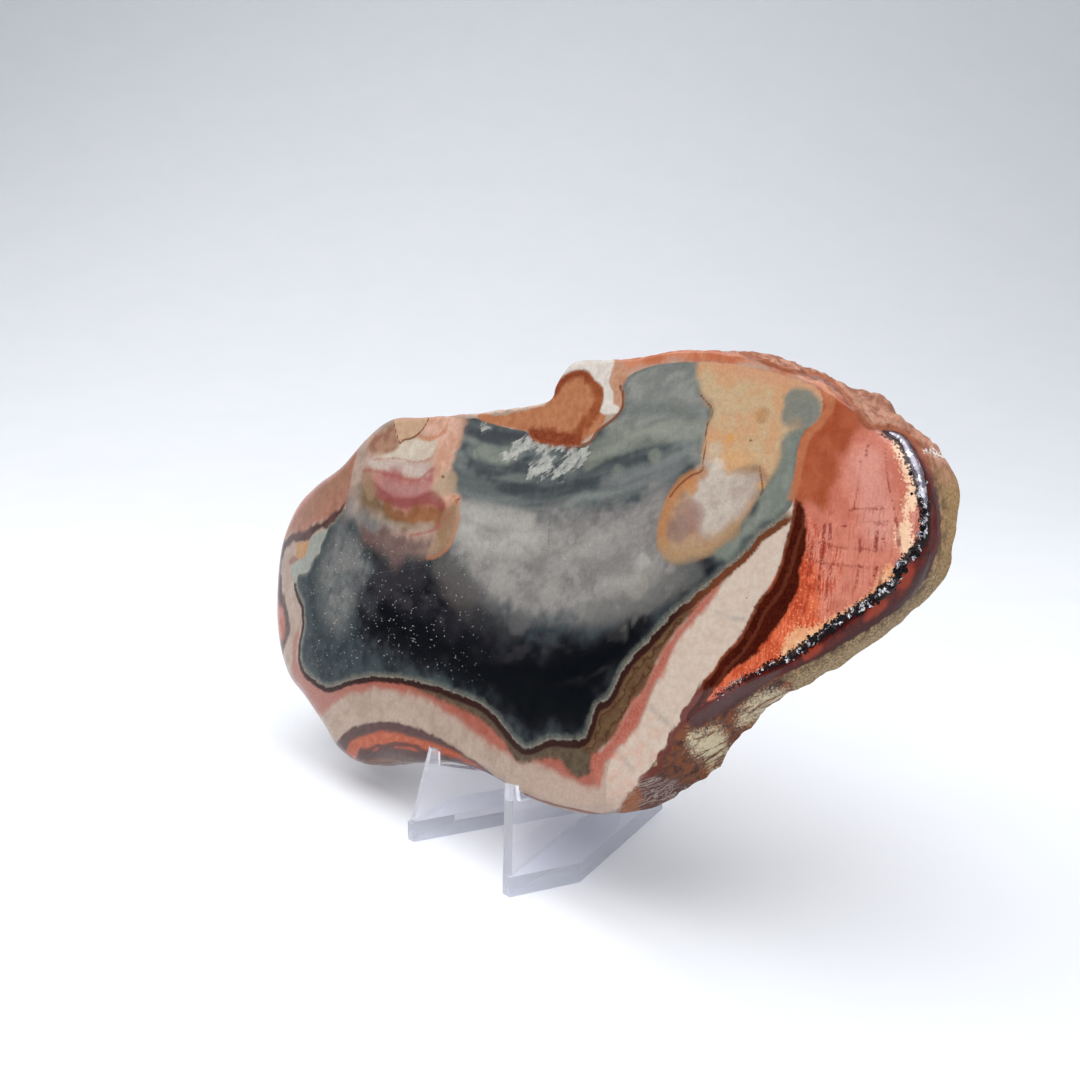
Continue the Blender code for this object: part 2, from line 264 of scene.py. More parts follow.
def slicePlace(row, station, out, middle):
    # x, v and d of one vertex
    x, v, rollWidth, rollDepth, flare, rough = station
    rim = Vector((x, v))
    out = Vector(out)
    middle = Vector(middle)
    thickness, chamfer = jasperSlice["thickness"], jasperSlice["backChamfer"]
    kind, part = row
    depth = 0.0
    if kind == "face":
        place = middle.lerp(rim - out * rollWidth, part)
    elif kind == "roll":
        turn = part * math.pi / 2
        place = rim - out * rollWidth * (1 - math.sin(turn))
        depth = rollDepth * (1 - math.cos(turn))
    elif kind == "wall":
        place = rim + out * flare * part
        depth = rollDepth + (thickness - chamfer - rollDepth) * part
    else:
        place = middle.lerp(rim + out * (flare - chamfer), max(part, jasperSlice["innerShare"]))
        depth = thickness
    if kind in ("roll", "wall"):
        spot = Vector((place.x, depth, place.y))
        (broad, broadSize), (medium, mediumSize), (small, smallSize) = jasperSlice["lumps"]
        push = broad * noise.noise(spot / broadSize)
        push += medium * noise.noise(spot / mediumSize + Vector((7, 3, 1))) - jasperSlice["lumpSink"]
        push += small * noise.noise(spot / smallSize)
        place = place + out * rough * push * (part if kind == "roll" else 1.0)
    curved = bendDepth(place.x)
    depth = curved + depth * (1 - curved / thickness)
    return place.x, place.y, depth


def buildSliceMesh():
    rows = sliceRows()
    spokes = jasperSlice["spokes"]
    stations, outward = evenRim(spokes)
    middles = [spinePoint(x, v) for x, v in stations[:, :2]]
    work = bmesh.new()
    bmesh.ops.create_grid(work, x_segments=spokes, y_segments=len(rows) + 1, size=0.5)
    first, last = (Vector(end) for end in jasperSlice["spine"])
    centre = (first + last) / 2
    for vertex in work.verts:
        spoke = round((vertex.co.x + 0.5) * spokes) % spokes
        row = round((vertex.co.y + 0.5) * (len(rows) + 1)) - 1
        if 0 <= row < len(rows):
            vertex.co = slicePlace(rows[row], stations[spoke], outward[spoke], middles[spoke])
        else:
            vertex.co = (centre.x, centre.y, 0.0 if row < 0 else jasperSlice["thickness"])
    bmesh.ops.remove_doubles(work, verts=work.verts, dist=1e-6)
    return work


standLow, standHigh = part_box("display_stand")
origin = Vector(((standLow.x + standHigh.x) / 2, standLow.y, 0.0))   # middle of the stand, at its front tips


def toWorld(x, v, d):
    # slice millimetres to a place in the frame, in metres
    cosLean, sinLean = math.cos(jasperSlice["lean"]), math.sin(jasperSlice["lean"])
    back = jasperSlice["faceSetback"] + v * sinLean + d * cosLean
    up = jasperSlice["faceLevel"] + v * cosLean - d * sinLean
    return origin + Vector((x, back, up)) * mm


def layerPlace(spots):
    # follows the layers up to the face, so that a mark drawn on the face runs on over the edge
    fanX, fanV, reach = jasperSlice["layerFan"]
    lean = spots[:, 2] / (reach + spots[:, 2])
    return spots[:, 0] + (fanX - spots[:, 0]) * lean, spots[:, 1] + (fanV - spots[:, 1]) * lean


def lineDistance(x, v, line):
    # shortest distance to a run of short segments
    best = np.full(len(x), 1e9, np.float32)
    for (ax, av), (bx, bv) in zip(line[:-1], line[1:]):
        runX, runV = bx - ax, bv - av
        length = max(runX * runX + runV * runV, 1e-9)
        share = np.clip(((x - ax) * runX + (v - av) * runV) / length, 0, 1)
        best = np.minimum(best, (x - ax - share * runX) ** 2 + (v - av - share * runV) ** 2)
    return np.sqrt(best)


def loopDistance(x, v, loop):
    # distance to a closed outline, above zero inside it
    closed = np.vstack([loop, loop[:1]])
    inside = np.zeros(len(x), bool)
    for (ax, av), (bx, bv) in zip(closed[:-1], closed[1:]):
        if av != bv:
            crosses = ((av > v) != (bv > v)) & (x < (bx - ax) * (v - av) / (bv - av) + ax)
            inside ^= crosses
    return np.where(inside, 1.0, -1.0) * lineDistance(x, v, closed)


# closed outlines of the stone's colours, in slice millimetres (x, v)
lowerBody = [(-60, 41), (-62, 39.5), (-63.5, 37.8), (-65.5, 36.8), (-66.5, 34), (-67.8, 32), (-67.5, 30.5),
             (-69.5, 29), (-70, 27.3), (-71.5, 25.5), (-73.5, 24.8), (-76.3, 24.2), (-76.2, 22.6), (-74.5, 21),
             (-72, 19.5), (-70, 18.3), (-68.8, 16.3), (-67.7, 14.3), (-67.4, 12), (-67.4, 9.4), (-66.6, 7),
             (-65, 5.4), (-62.4, 4.4), (-58, 3.7), (-54.6, 3.4), (-52.4, 3.7), (-50, 4.7), (-46.4, 6.5),
             (-42, 8), (-38.6, 9.2), (-35, 10), (-31.5, 10.6), (-27.4, 11.3), (-22, 11.8), (-16, 12.2),
             (-10, 12.2), (-5, 12.2), (-2, 11.9), (1, 11.1), (4, 9.8), (7, 8.4), (10, 7.7), (12.5, 8.6),
             (15, 10.3), (18, 11.2), (21.5, 12), (23.3, 13), (23.8, 15), (24, 17.5), (24.8, 19), (26.4, 20),
             (27.2, 21.5), (27.9, 24), (29.4, 27), (31, 29), (33, 31.4), (35, 34.3), (37, 36.8), (39, 38.4),
             (40.6, 40.2), (43, 42.5), (45, 44.6), (47, 46.5), (48.5, 48.5), (49.5, 50.2), (51.5, 51.8),
             (53.3, 53.3), (54.3, 54.8)]
upperBody = [(53.9, 57), (53.8, 60), (53.5, 63), (54, 65.5), (55.9, 67), (56.2, 69.5), (55, 71.6), (52, 72.6),
             (45, 74.3), (38, 75.1), (32, 75.3), (25, 75), (20.5, 74), (17, 72.5), (16.3, 71), (17.3, 69.3),
             (17.5, 67.2), (16.3, 65.4), (14.6, 64.2), (13, 63), (12, 61.4), (10, 60.2), (6, 60), (2, 60),
             (-2, 60.3), (-4, 61), (-5.5, 62), (-9, 62.2), (-13, 62.6), (-17, 63.3), (-21, 63.7), (-25, 63.4),
             (-31, 63.6), (-38, 63.2), (-46, 62.6), (-52, 61.7), (-56, 59.8), (-58.5, 57), (-59.9, 54),
             (-60.3, 49), (-60.3, 45)]
whiteEdge = [(54.6, 55.5), (54.8, 52), (54.5, 49), (54.3, 46), (53.5, 43), (52, 40.5), (51, 38), (50.5, 36),
             (49.5, 34), (48, 32), (47, 30.5), (46.5, 29), (45, 27), (44.5, 25), (43.5, 23), (42.5, 21.5),
             (42.8, 20), (41.5, 18.5), (41, 17), (41, 15.5), (39.5, 14), (40, 12.5), (38.5, 11), (37, 9.7),
             (36.5, 8), (35.2, 7), (34.4, 5.5), (34.8, 3.5)]
seamLine = [(66.8, 66), (69, 65), (71, 62.6), (72.5, 60.3), (73.6, 58), (74.6, 55.5), (74.9, 52.5),
            (73.9, 50.4), (72.7, 48.8), (72.2, 46.6), (70.8, 44.9), (69, 43.1), (67.5, 41.8), (66, 40.4),
            (64.3, 38.9), (63, 37.4), (61.5, 36.1), (60, 34.7), (58.2, 33.2), (56.2, 31.8), (54.2, 30.6),
            (52.6, 29.4), (51, 28.2), (49.4, 26.8), (47.8, 25.4)]
rindLine = [(40, 76.9), (45, 75.4), (50, 74.1), (55, 73.4), (58, 72), (60, 70.3), (62, 68.5), (63.7, 66.9),
            (65.4, 66.5), (67.3, 66.7), (69.6, 66.1), (71.8, 64.2), (73.8, 61.7), (75.3, 59), (76.5, 56.5),
            (77.1, 53.5), (77.1, 51), (76.5, 48), (75.3, 45.5), (73.3, 43), (70.8, 40.5), (68.2, 38.3),
            (65.6, 36.2), (63, 34.1), (60, 32), (57, 30), (54.8, 28.4), (52, 26), (48.5, 23), (46, 21),
            (44, 19.9)]

jasperLoops = {
    "body": lowerBody + upperBody,
    "side": [(-60, 60), (-59.4, 52), (-60, 45), (-60.3, 42.3), (-63, 40.5), (-66, 38.6), (-70, 37), (-73, 36.4),
             (-76, 34.8), (-80, 33.3), (-85, 33), (-88, 31.3), (-92, 28), (-99, 30), (-95, 45), (-75, 60)],
    "plum": [(-60.2, 43), (-63, 41), (-66, 39.2), (-70, 37.6), (-73, 36.7), (-76, 35), (-80, 33.6), (-85, 33.2),
             (-88, 31.5), (-99, 27), (-98, 16), (-88, 8), (-80, 3), (-75.5, 3), (-76, 7), (-75.2, 9),
             (-75, 11.5), (-76.7, 14), (-79.5, 16.7), (-82.5, 18.6), (-84.8, 20.8), (-86.7, 23), (-88, 25),
             (-87.4, 28), (-85.4, 30.3), (-83, 31.4), (-80, 31.4), (-76, 32.1), (-74, 33), (-72, 34.3),
             (-69, 35.5), (-66, 36.6), (-63, 38)],
    "sideGlow": [(-83.8, 16.3), (-81, 15.6), (-79, 13), (-78.2, 10.5), (-78.4, 8.2), (-82, 8), (-88, 14),
                 (-89, 20)],
    "orangeSpot": [(-80.5, 31.2), (-77, 32), (-74.4, 32.8), (-73.8, 31), (-74.8, 28.8), (-77.5, 27.9),
                   (-80, 28.6)],
    "paleGreen": [(-65.3, 36.3), (-65, 34.5), (-67, 34), (-67.5, 32), (-67.2, 30.4), (-69, 29.8),
                  (-70.5, 27.8), (-71, 26), (-73.5, 24.9), (-76.3, 24.3), (-76.4, 22.3), (-78, 22.6),
                  (-80.5, 24.2), (-81.5, 25.3), (-79.5, 26.8), (-77.5, 27.6), (-75, 28.6), (-73.8, 31),
                  (-73.7, 32.9), (-71, 34.7), (-68, 35.7)],
    "brownHook": [(-80.5, 28.3), (-77.8, 27.7), (-79.5, 26.8), (-82.5, 25.8), (-83.3, 27)],
    "salmon": [(-70.5, 13), (-69.8, 8.5), (-68.5, 6), (-66, 4.6), (-60, 4.5), (-50, 6), (-40, 10), (-30, 13),
               (-20, 13), (-5, 13), (5, 9), (10, 6.5), (15, 9), (22, 10), (27, 9), (28.4, 5.8), (24, 5.1),
               (20, 5.3), (15.5, 5.6), (12.5, 5.5), (10, 4.3), (7.5, 4.6), (5, 5.2), (0, 5.8), (-3, 6.3),
               (-8, 7.4), (-14, 8.2), (-18, 8.6), (-22, 8.6), (-27, 8.2), (-32, 7.7), (-36, 6.9), (-40, 5.7),
               (-45, 3.8), (-48, 1.8), (-51, -0.6), (-54, -4), (-58, -5), (-66, -1), (-69, 2.4), (-70.6, 5),
               (-71.5, 9)],
    "greyOlive": [(-24, 13), (-24, 10), (-18, 9.8), (-12, 9.5), (-6, 9.4), (-1, 8.7), (3, 7.5), (6.5, 5.9),
                  (8, 4.8), (10, 4.5), (12.6, 5.6), (14.5, 6.4), (16, 7.2), (19, 7.5), (20.6, 7), (22.2, 6.3),
                  (23.6, 6), (25.6, 6.9), (27.2, 9.6), (26, 13), (20, 13), (10, 10), (0, 12.5), (-10, 13.5)],
    "olive": [(23, 11.4), (26, 10.6), (28.3, 12.8), (30, 15), (31, 18), (32, 20.5), (34, 23), (34.8, 26),
              (35.8, 29), (36.8, 31), (38.2, 33.6), (39.8, 35.6), (41, 37.6), (43, 40), (46, 44.5), (40, 42),
              (33, 33), (27, 25), (22, 16)],
    "pinkEdge": [(25.8, 9.5), (27, 11.3), (29, 13.4), (30, 15.4), (31, 18), (32, 20.5), (34, 23), (34.8, 26),
                 (35.9, 29.2), (36.8, 31), (38.3, 33.7), (39.9, 35.8), (41, 37.8), (43, 40.3), (44.6, 42),
                 (43.5, 39), (42, 36.8), (40.6, 34.9), (39, 32.6), (37.9, 29.8), (37.2, 27.2), (36, 24.4),
                 (35.2, 21.4), (34.4, 18), (32.6, 15), (30.4, 12.2), (29, 9.6), (28.6, 5.8)],
    "white": [(31, 4.4), (29.8, 8.8), (30.4, 12.2), (32.6, 15), (34.4, 18), (35.2, 21.4), (36, 24.4),
              (37.2, 27.2), (37.9, 29.8), (39, 32.6), (40.6, 34.9), (42, 36.8), (43.5, 39), (45.5, 42.4),
              (47.4, 45), (49, 48), (50.2, 50.2), (52.4, 51.5), (53.6, 53.2)] + whiteEdge,
    "darkBand": [(54.8, 55.6), (56.6, 54.2), (57.5, 51), (58, 48.5), (57.6, 46), (58, 43.5), (57.4, 41),
                 (56.4, 38.6), (55.2, 36.6), (54.2, 34.6), (52.8, 32.5), (51, 30.8), (49.2, 29), (47.8, 27.2),
                 (46.4, 25), (45.4, 23), (44.8, 21.2), (44.6, 19), (43, 16), (42, 13), (41, 11)]
                + whiteEdge[-7::-1],
    "ember": [(57, 54), (59.5, 51.5), (62, 50), (63.9, 48.6), (64.2, 45.5), (63.2, 42.6), (63.4, 41.2),
              (64.8, 40.2), (62, 36.6), (58, 33.2), (54, 30.4), (49, 26.5), (45, 21.4), (44, 19),
              (42, 22), (46, 31), (52, 38), (54, 45)],
    "pinkField": [(57, 55), (59.6, 54), (60.8, 56), (60.6, 60), (61.4, 64), (63.2, 66.2), (67, 66.7),
                  (69.4, 65.6), (72.4, 61.2), (74, 58), (75, 53), (73, 48.5), (70.8, 45), (66, 40.5),
                  (63, 38.5), (61.5, 42), (60.6, 46), (57.2, 50)],
    "redBrown": [(55.2, 74), (57, 72.6), (60, 70.4), (64, 68), (65, 65), (64, 62), (63.6, 58),
                 (63, 54.4), (60, 53), (57, 54.2), (53, 55.4), (51, 60), (51, 64), (52.4, 68),
                 (53, 72)],
    "creamPatch": [(68.4, 64.8), (69.6, 64), (71, 61.8), (72.4, 59), (73.4, 57), (72.4, 55.4), (73, 53.8),
                   (73.6, 52.6), (73.6, 50.4), (72.2, 50.2), (71.3, 52), (71, 53.5), (72, 54.6), (71.2, 56),
                   (71.6, 58), (70.6, 60.4), (69.2, 62.6)],
    "creamLower": [(70.3, 47.9), (71.8, 48.2), (72.2, 46), (70.2, 44.6), (69.4, 43.4), (68, 41.6), (66.4, 41),
                   (64, 39.2), (62, 37), (60.6, 34.8), (58.8, 33.8), (57, 33.2), (57.4, 34.8), (57.8, 36.6),
                   (59.2, 37.9), (61, 38.2), (63, 39.4), (65.4, 41.2), (67, 42.4), (68.8, 44), (69.6, 45.6)],
    "facet": [(43.4, 20.2), (46.2, 21.2), (48.6, 23.2), (52, 26.2), (55, 28.6), (58, 30.6), (61, 28), (56, 18),
              (46, 6), (38, 0), (34.2, 2.4), (34.2, 5.2), (35.2, 7), (36.4, 8.3), (36.6, 9.7), (38.4, 11),
              (40, 12.4), (39.8, 14.2), (41, 16), (41.3, 18)],
    "facetRust": [(33.8, 2.6), (34.2, 5.2), (35.2, 7), (37, 8.2), (38, 6.6), (37.4, 5.4), (38.6, 3.6), (36, 1)],
    "facetPlum": [(43.4, 20.4), (46.4, 23.3), (49.8, 26.4), (53.8, 29.4), (58, 31.6), (55.4, 28.6),
                  (52.4, 25.6), (50, 23.6), (47, 21.4), (45.6, 20)],
    "facetCream": [(44.3, 18.7), (46.6, 19.6), (48.5, 20.8), (50.2, 20.5), (51.1, 19.1), (51.2, 17.2),
                   (49.8, 14.8), (48.4, 15.4), (46.2, 16.2), (44.8, 16.8)],
    "facetCreamUpper": [(54, 26.2), (55.5, 27.5), (58.2, 28.5), (59.8, 28.3), (58.6, 26.7), (56.8, 25),
                        (54.8, 23.5), (52.7, 22.4), (52.9, 24.6)],
    "archOuter": [(-47, -12), (-46, -7.4), (-45.2, -6), (-43.8, -4.5), (-42, -3.2), (-40, -2), (-37, -0.8),
                  (-34, 0.3), (-30, 1.5), (-26, 2.2), (-22, 2.6), (-17, 2.8), (-12, 2.6), (-8, 2.3),
                  (-4, 1.7), (2, 0.9), (6, -2), (-10, -8), (-30, -14)],
    "archOrange": [(-42.4, -12), (-41.6, -7), (-41, -5.6), (-39, -4.3), (-36, -2.8), (-33, -1.5), (-30, -0.4),
                   (-26, 0.2), (-22, 0.7), (-18, 1), (-14, 1.4), (-10, 1.5), (-5, 1.3), (1, 0.5),
                   (-6, 0.7), (-12, -0.2), (-15, -0.5), (-18, -1.1), (-22, -1.9), (-26, -2.6), (-29, -3),
                   (-30.6, -3.6), (-31.6, -4.6), (-33, -5.1), (-36, -5.6), (-37.6, -6.6), (-38.6, -12)],
    "notch": [(-20, 65.5), (-16, 64.3), (-10, 65.2), (-4, 66.6), (-1.5, 67), (-1.2, 69.5), (0.8, 72),
              (3, 73.2), (6.5, 73.6), (8.5, 72.7), (10, 71.7), (12, 70.6), (12.6, 68), (12.4, 66.4), (14, 66),
              (13.6, 64.4), (12, 62.7), (10, 61.4), (9, 60.5), (5, 60.1), (1, 60), (-3, 60.5), (-4.6, 62),
              (-8, 62.3), (-14, 62.7), (-20, 63.6)],
    "notchWhite": [(-3, 71), (-2, 76), (5, 78), (12.8, 77), (13.3, 73), (13.1, 71.6), (14.6, 69.9),
                   (15.2, 68), (16.5, 67.6), (16.7, 66.4), (14.2, 66.1), (12.5, 66.4), (12.7, 68.5),
                   (12.1, 70.6), (10, 71.8), (8.5, 72.9), (6.5, 73.8), (3.6, 73.5), (1.4, 72.6), (0, 71.3)],
    "rimOrange": [(12.8, 79), (12.9, 74.6), (15, 74.6), (17, 73), (20.5, 74.4), (25, 75.3), (32, 75.5),
                  (38, 75.2), (45, 74.3), (52, 72.6), (55, 71.6), (56.2, 69.6), (58, 70.4), (60, 70.4),
                  (56, 73.2), (50, 74.3), (45, 75.6), (40, 77), (35, 80), (20, 80)],
    "notchTan": [(12.8, 75.6), (13.1, 71.6), (14.6, 69.9), (15.2, 68), (16.6, 67), (17.5, 67.6), (17.4, 69.3),
                 (16.4, 71), (17.4, 72.8), (16.5, 74.4)],
    "mist": [(14.5, 66), (16.5, 65.5), (17.5, 67.2), (17.3, 69.3), (16.3, 71), (17.5, 73), (21, 74.3),
             (26, 75.3), (31.8, 75.5), (34, 73), (34, 70.4), (35.4, 68.8), (36.4, 66), (36.6, 63), (36.6, 60),
             (34, 59.5), (30, 61), (26, 62), (20, 62), (15, 62.5)],
    "mistPale": [(9, 56), (14, 59), (20, 61), (26, 63.6), (32, 65.6), (30, 67), (24, 65), (18, 64), (13, 62),
                 (9, 59)],
    "slate": [(-24, 60.5), (-22, 63), (-14, 62.6), (-6, 62.2), (-3, 60.5), (4, 60), (10, 60), (14, 61.4),
              (20, 61), (26, 62), (31, 63.6), (34.5, 63), (33, 58), (30.5, 55), (26, 52.6), (20, 51),
              (14, 49.6), (8, 48), (0, 47.4), (-8, 47), (-15, 47.4), (-20, 49), (-24, 52.4), (-26.4, 55.4)],
    "slateDark": [(-23, 57), (-16, 55.6), (-10, 55.2), (-6, 56), (-4, 58.4), (-1, 57.6), (-1.8, 55), (1, 53.6),
                  (5, 54), (10, 55.2), (15, 57.2), (20, 59), (26, 60.8), (31, 62.4), (26, 59), (20, 56.4),
                  (14, 54.2), (8, 52), (2, 50.8), (-6, 51), (-14, 52.4), (-19, 54)],
    "slateTop": [(-23.5, 60), (-20.5, 60.4), (-17, 59.2), (-12, 58.9), (-8, 59.9), (-5.6, 61.4), (-9, 62.2),
                 (-14, 62.4), (-18, 61.4), (-22, 61.4)],
    "greenPatch": [(-20, 56.6), (-17, 58.8), (-12, 58.8), (-8, 59.8), (-6, 58.6), (-8, 56.4), (-11, 55.6),
                   (-16, 55.8)],
    "cloud": [(-20.5, 47.6), (-15, 47), (-8, 46.4), (0, 46.6), (8, 47.6), (14, 49.4), (20, 50.6), (26, 52.2),
              (29.6, 54.6), (31, 50), (31.5, 45.6), (35, 43), (37, 40.6), (32, 36.5), (26, 33.4), (20, 31.4),
              (12, 30.4), (6, 30), (0, 28.6), (-8, 31), (-14, 33.6), (-20, 36), (-21, 42)],
    "cloudPale": [(-20, 45.6), (-12, 46.2), (-4, 46), (3, 44.6), (6, 42.6), (0, 40), (-8, 38.6), (-16, 39),
                  (-21, 41)],
    "leftGrey": [(-61, 40), (-58, 37), (-50, 35.6), (-45, 31), (-46, 26), (-49, 20.6), (-53, 15), (-60, 17),
                 (-64, 22), (-67, 28), (-64, 34)],
    "night": [(-50, 35.2), (-46, 34.6), (-40, 33), (-30, 33.4), (-22, 33), (-14, 30.6), (-6, 27.2), (2, 24.6),
              (10, 27), (18, 29), (25, 31), (31, 34), (37, 39), (42, 43.5), (39, 37.6), (35, 33.4), (31, 28),
              (28, 23), (24, 17), (22.5, 12.6), (15, 11), (10, 8.6), (3, 11), (-4, 13.6), (-20, 14),
              (-32, 13.4), (-42, 14.6), (-48, 19), (-48, 25), (-45, 30)],
    "deepNight": [(-46, 20), (-36, 24), (-24, 22.6), (-12, 21.6), (-2, 20.6), (8, 23.6), (18, 26.6), (26, 30),
                  (31, 33), (29, 27), (25, 20), (23, 13.4), (15, 12), (10, 9.6), (2, 12.4), (-14, 15),
                  (-30, 16), (-40, 17)],
    "teardrop": [(37.2, 58.2), (35, 57.3), (33, 55.5), (31.5, 53.5), (30.8, 51), (30.7, 48.5), (31.2, 46.3),
                 (32.3, 44.6), (34, 43.8), (36.5, 43.7), (39, 44.6), (41.5, 46.1), (44, 48), (46, 50.5),
                 (47.5, 53), (48.3, 55), (48.8, 57), (49.3, 58.6), (47, 59.6), (43, 59.2), (40, 60)],
    "teardropCore": [(36.2, 57.4), (35.2, 55.4), (35.4, 53.4), (36.4, 51.6), (37.4, 49.6), (40, 48.4),
                     (43, 49.4), (45.6, 52), (46.8, 55), (47.4, 57.4), (45, 58.4), (41, 59.6), (38, 59.8)],
    "teardropMauve": [(33, 50.8), (35, 52.6), (37, 53), (38.8, 51.4), (38, 48.8), (36, 46.8), (34, 47),
                      (32.8, 48.8)],
    "tan": [(32.6, 77), (32.4, 72.5), (33.5, 70.2), (35.3, 69), (36.6, 67.7), (36.3, 65.5), (36.5, 63),
            (36.8, 60), (37, 58.3), (40, 59.8), (44, 59.2), (47.5, 59.8), (48.6, 57.2), (50.2, 58.7), (51, 61),
            (50.7, 63.5), (52, 65.3), (54, 66), (56.2, 67), (56.5, 70), (55, 72.2), (50, 73.5), (45, 74.8),
            (39, 76)],
    "blueBand": [(50.6, 64), (51, 61.4), (50.4, 58.8), (49.2, 57), (48.5, 55), (47.6, 52.8), (46, 50.4),
                 (44, 47.8), (42, 46), (45, 45.6), (48, 49), (50.4, 51.6), (53.4, 54), (53.9, 57), (53.8, 60),
                 (53.5, 63), (54, 65.8), (52, 65.4)],
    "column": [(-61, 57), (-57, 62), (-50, 65), (-25, 66), (-24.6, 58), (-25.4, 54), (-22, 49), (-20.6, 46),
               (-20.3, 42), (-22, 38), (-26, 36), (-33, 35.4), (-42, 36), (-52, 38.5), (-58, 41), (-60.4, 46)],
    "tanBlob": [(-55.4, 57.2), (-52, 59.2), (-48.4, 60.6), (-46.4, 59.4), (-45.2, 57.8), (-44.4, 56.6),
                (-46, 55.5), (-49, 54.7), (-52, 54.3), (-55, 55)],
    "tanFacet": [(-48.7, 62.6), (-46.8, 59.8), (-44.5, 57.3), (-42, 58.3), (-39.6, 58.9), (-38, 59.9),
                 (-36.9, 61.2), (-35.4, 64), (-42, 64), (-48, 63.6)],
    "tanEdge": [(-56.5, 59.8), (-53, 58.8), (-50, 59.8), (-47.4, 60.6), (-48.7, 62.6), (-50, 64), (-57, 62)],
    "columnCream": [(-53, 53.6), (-49, 54.7), (-46, 55.6), (-43.9, 57.4), (-41.6, 58.1), (-38, 58.7),
                    (-34, 58.4), (-31.6, 58.6), (-32.4, 55.8), (-35, 54.2), (-40, 53.6), (-45, 53.5)],
    "columnPeach": [(-36.4, 62.8), (-37.4, 60.4), (-34, 58.8), (-31.4, 57), (-31.6, 54), (-30.6, 50),
                    (-28, 47), (-24, 45.6), (-21.4, 46.8), (-21.6, 48.6), (-24, 51), (-25.6, 54), (-24.8, 58),
                    (-25.4, 63.4), (-30, 65)],
    "columnPale": [(-56, 53.4), (-50, 53.4), (-44, 53.5), (-38, 53.4), (-33, 54), (-31.4, 52), (-33.4, 50.6),
                   (-40, 50.6), (-47, 50.9), (-53, 51)],
    "rose": [(-54, 51), (-47, 51), (-40, 50.7), (-34, 50.8), (-31.4, 52.4), (-30.4, 50.6), (-29.4, 48),
             (-26, 45.8), (-25.4, 43.6), (-30, 42.8), (-35, 42.6), (-40, 43.2), (-44, 44.2), (-48, 45.6),
             (-52, 47), (-56, 48.4)],
    "roseLight": [(-53, 48.4), (-47, 47.4), (-40, 46.8), (-34, 47), (-31, 48.2), (-32.6, 49.4), (-38, 48.7),
                  (-46, 48.9), (-52, 49.6)],
    "columnOlive": [(-57, 48), (-54, 47.2), (-50, 46.2), (-46, 44.8), (-43, 43.8), (-38, 42), (-33, 41.4),
                    (-36, 40.4), (-42, 40.8), (-47, 42), (-52, 43), (-56, 44)],
    "ochre": [(-46, 44.6), (-42, 43.6), (-38, 43.2), (-34, 45.4), (-30, 46), (-27, 45.8), (-25, 44.2),
              (-26, 41.6), (-30, 40.6), (-35, 40.6), (-40, 41.2), (-44, 42.6)],
    "ochreEdge": [(-25.6, 42), (-24.6, 45), (-21.4, 46.8), (-20.4, 44), (-20.4, 41), (-21.6, 38.2),
                  (-24, 36.4), (-27.4, 35.8), (-26.4, 38)],
    "columnGrey": [(-60, 44), (-55, 43), (-50, 42.4), (-44, 40.8), (-40, 40), (-38, 38.4), (-44, 38.4),
                   (-50, 38.4), (-60, 39)],
    "mauve": [(-52, 39.4), (-45, 39.2), (-38, 38.8), (-32, 38.9), (-27, 40), (-26, 38), (-27.6, 35.6),
              (-32, 34.2), (-34.4, 34.3), (-36, 32.6), (-37.8, 31.6), (-39.6, 32.6), (-42, 33.4), (-46, 35),
              (-51, 36)],
    # pale streak where the face starts to bend away on the left: painted highlight
    "paintedHighlightStreak": [(-59.6, 56), (-57, 57), (-55.6, 53), (-55.4, 48), (-54.6, 43), (-56, 40), (-59.4, 40.6),
               (-59.8, 46), (-59.4, 52)],
    "chipStrip": [(-38, 64.6), (-30, 64), (-22, 64.3), (-15, 65.2), (-8, 66.1), (-2, 67.3), (-2, 70), (-20, 70),
                  (-38, 68)],
}

# several outlines that share one colour
jasperPatches = {
    "notchDark": (
        [(-0.6, 69.4), (0, 71.4), (2, 72.8), (4.4, 73.5), (6.6, 73.8), (8, 73.2), (8.6, 71.9), (7.4, 71.3),
         (6.6, 72.3), (4.6, 72.1), (2.8, 71.3), (1.4, 69.9), (0.6, 68.6)],
        [(-5, 62.2), (-3.4, 63), (-0.4, 62.6), (2, 62.9), (5, 62.4), (7.8, 62.7), (9.6, 61.6), (9.2, 60.2),
         (4, 59.8), (-2, 60.2), (-4.4, 61)]),
    "notchRust": (
        [(7.4, 73.4), (9.6, 72.2), (12.2, 70.8), (12.9, 68.6), (12.5, 66), (11.4, 64.6), (10.4, 63.2),
         (9, 62), (7.8, 62.6), (7.6, 64.2), (8.6, 65.4), (9.8, 67), (10.3, 68.8), (9.4, 70.2), (7.8, 71.4)],),
    "flecks": (
        [(-10.4, 57), (-8.6, 58.6), (-6, 60.4), (-4.6, 61.6), (-2.6, 60.6), (1.4, 60.2), (6, 60), (9, 60.2),
         (7.6, 59), (3.4, 59.4), (0, 58.4), (-2.6, 59.2), (-4.6, 59), (-6.4, 57.6), (-9, 56.4)],
        [(-2.6, 53.8), (-0.4, 53.9), (1.8, 54.8), (3.4, 56.2), (3, 57.8), (1, 58.4), (0.6, 56.8), (-1.4, 55.8),
         (-2.6, 55)],
        [(4, 54.2), (7, 55), (9.6, 57.2), (11.8, 59.2), (10.6, 60), (8, 58.8), (5.6, 56.8)],
        [(-18, 62.8), (-17, 62.9), (-16.6, 62), (-17.6, 61.6)]),
    "seamGlow": (
        [(72.9, 49.6), (74.3, 49.4), (74.9, 47.6), (74, 45.8), (72.8, 45.4), (72.6, 47.4)],
        [(70.2, 43.4), (71.8, 44), (71.2, 41.8), (69.4, 40.4), (69, 41.4)],
        [(60.8, 34.6), (62.4, 36), (63.6, 36.4), (63, 35), (61.4, 33.8)],
        [(49.4, 26.4), (51.4, 28), (52.6, 28.6), (51.4, 27), (49.6, 25.6)]),
}

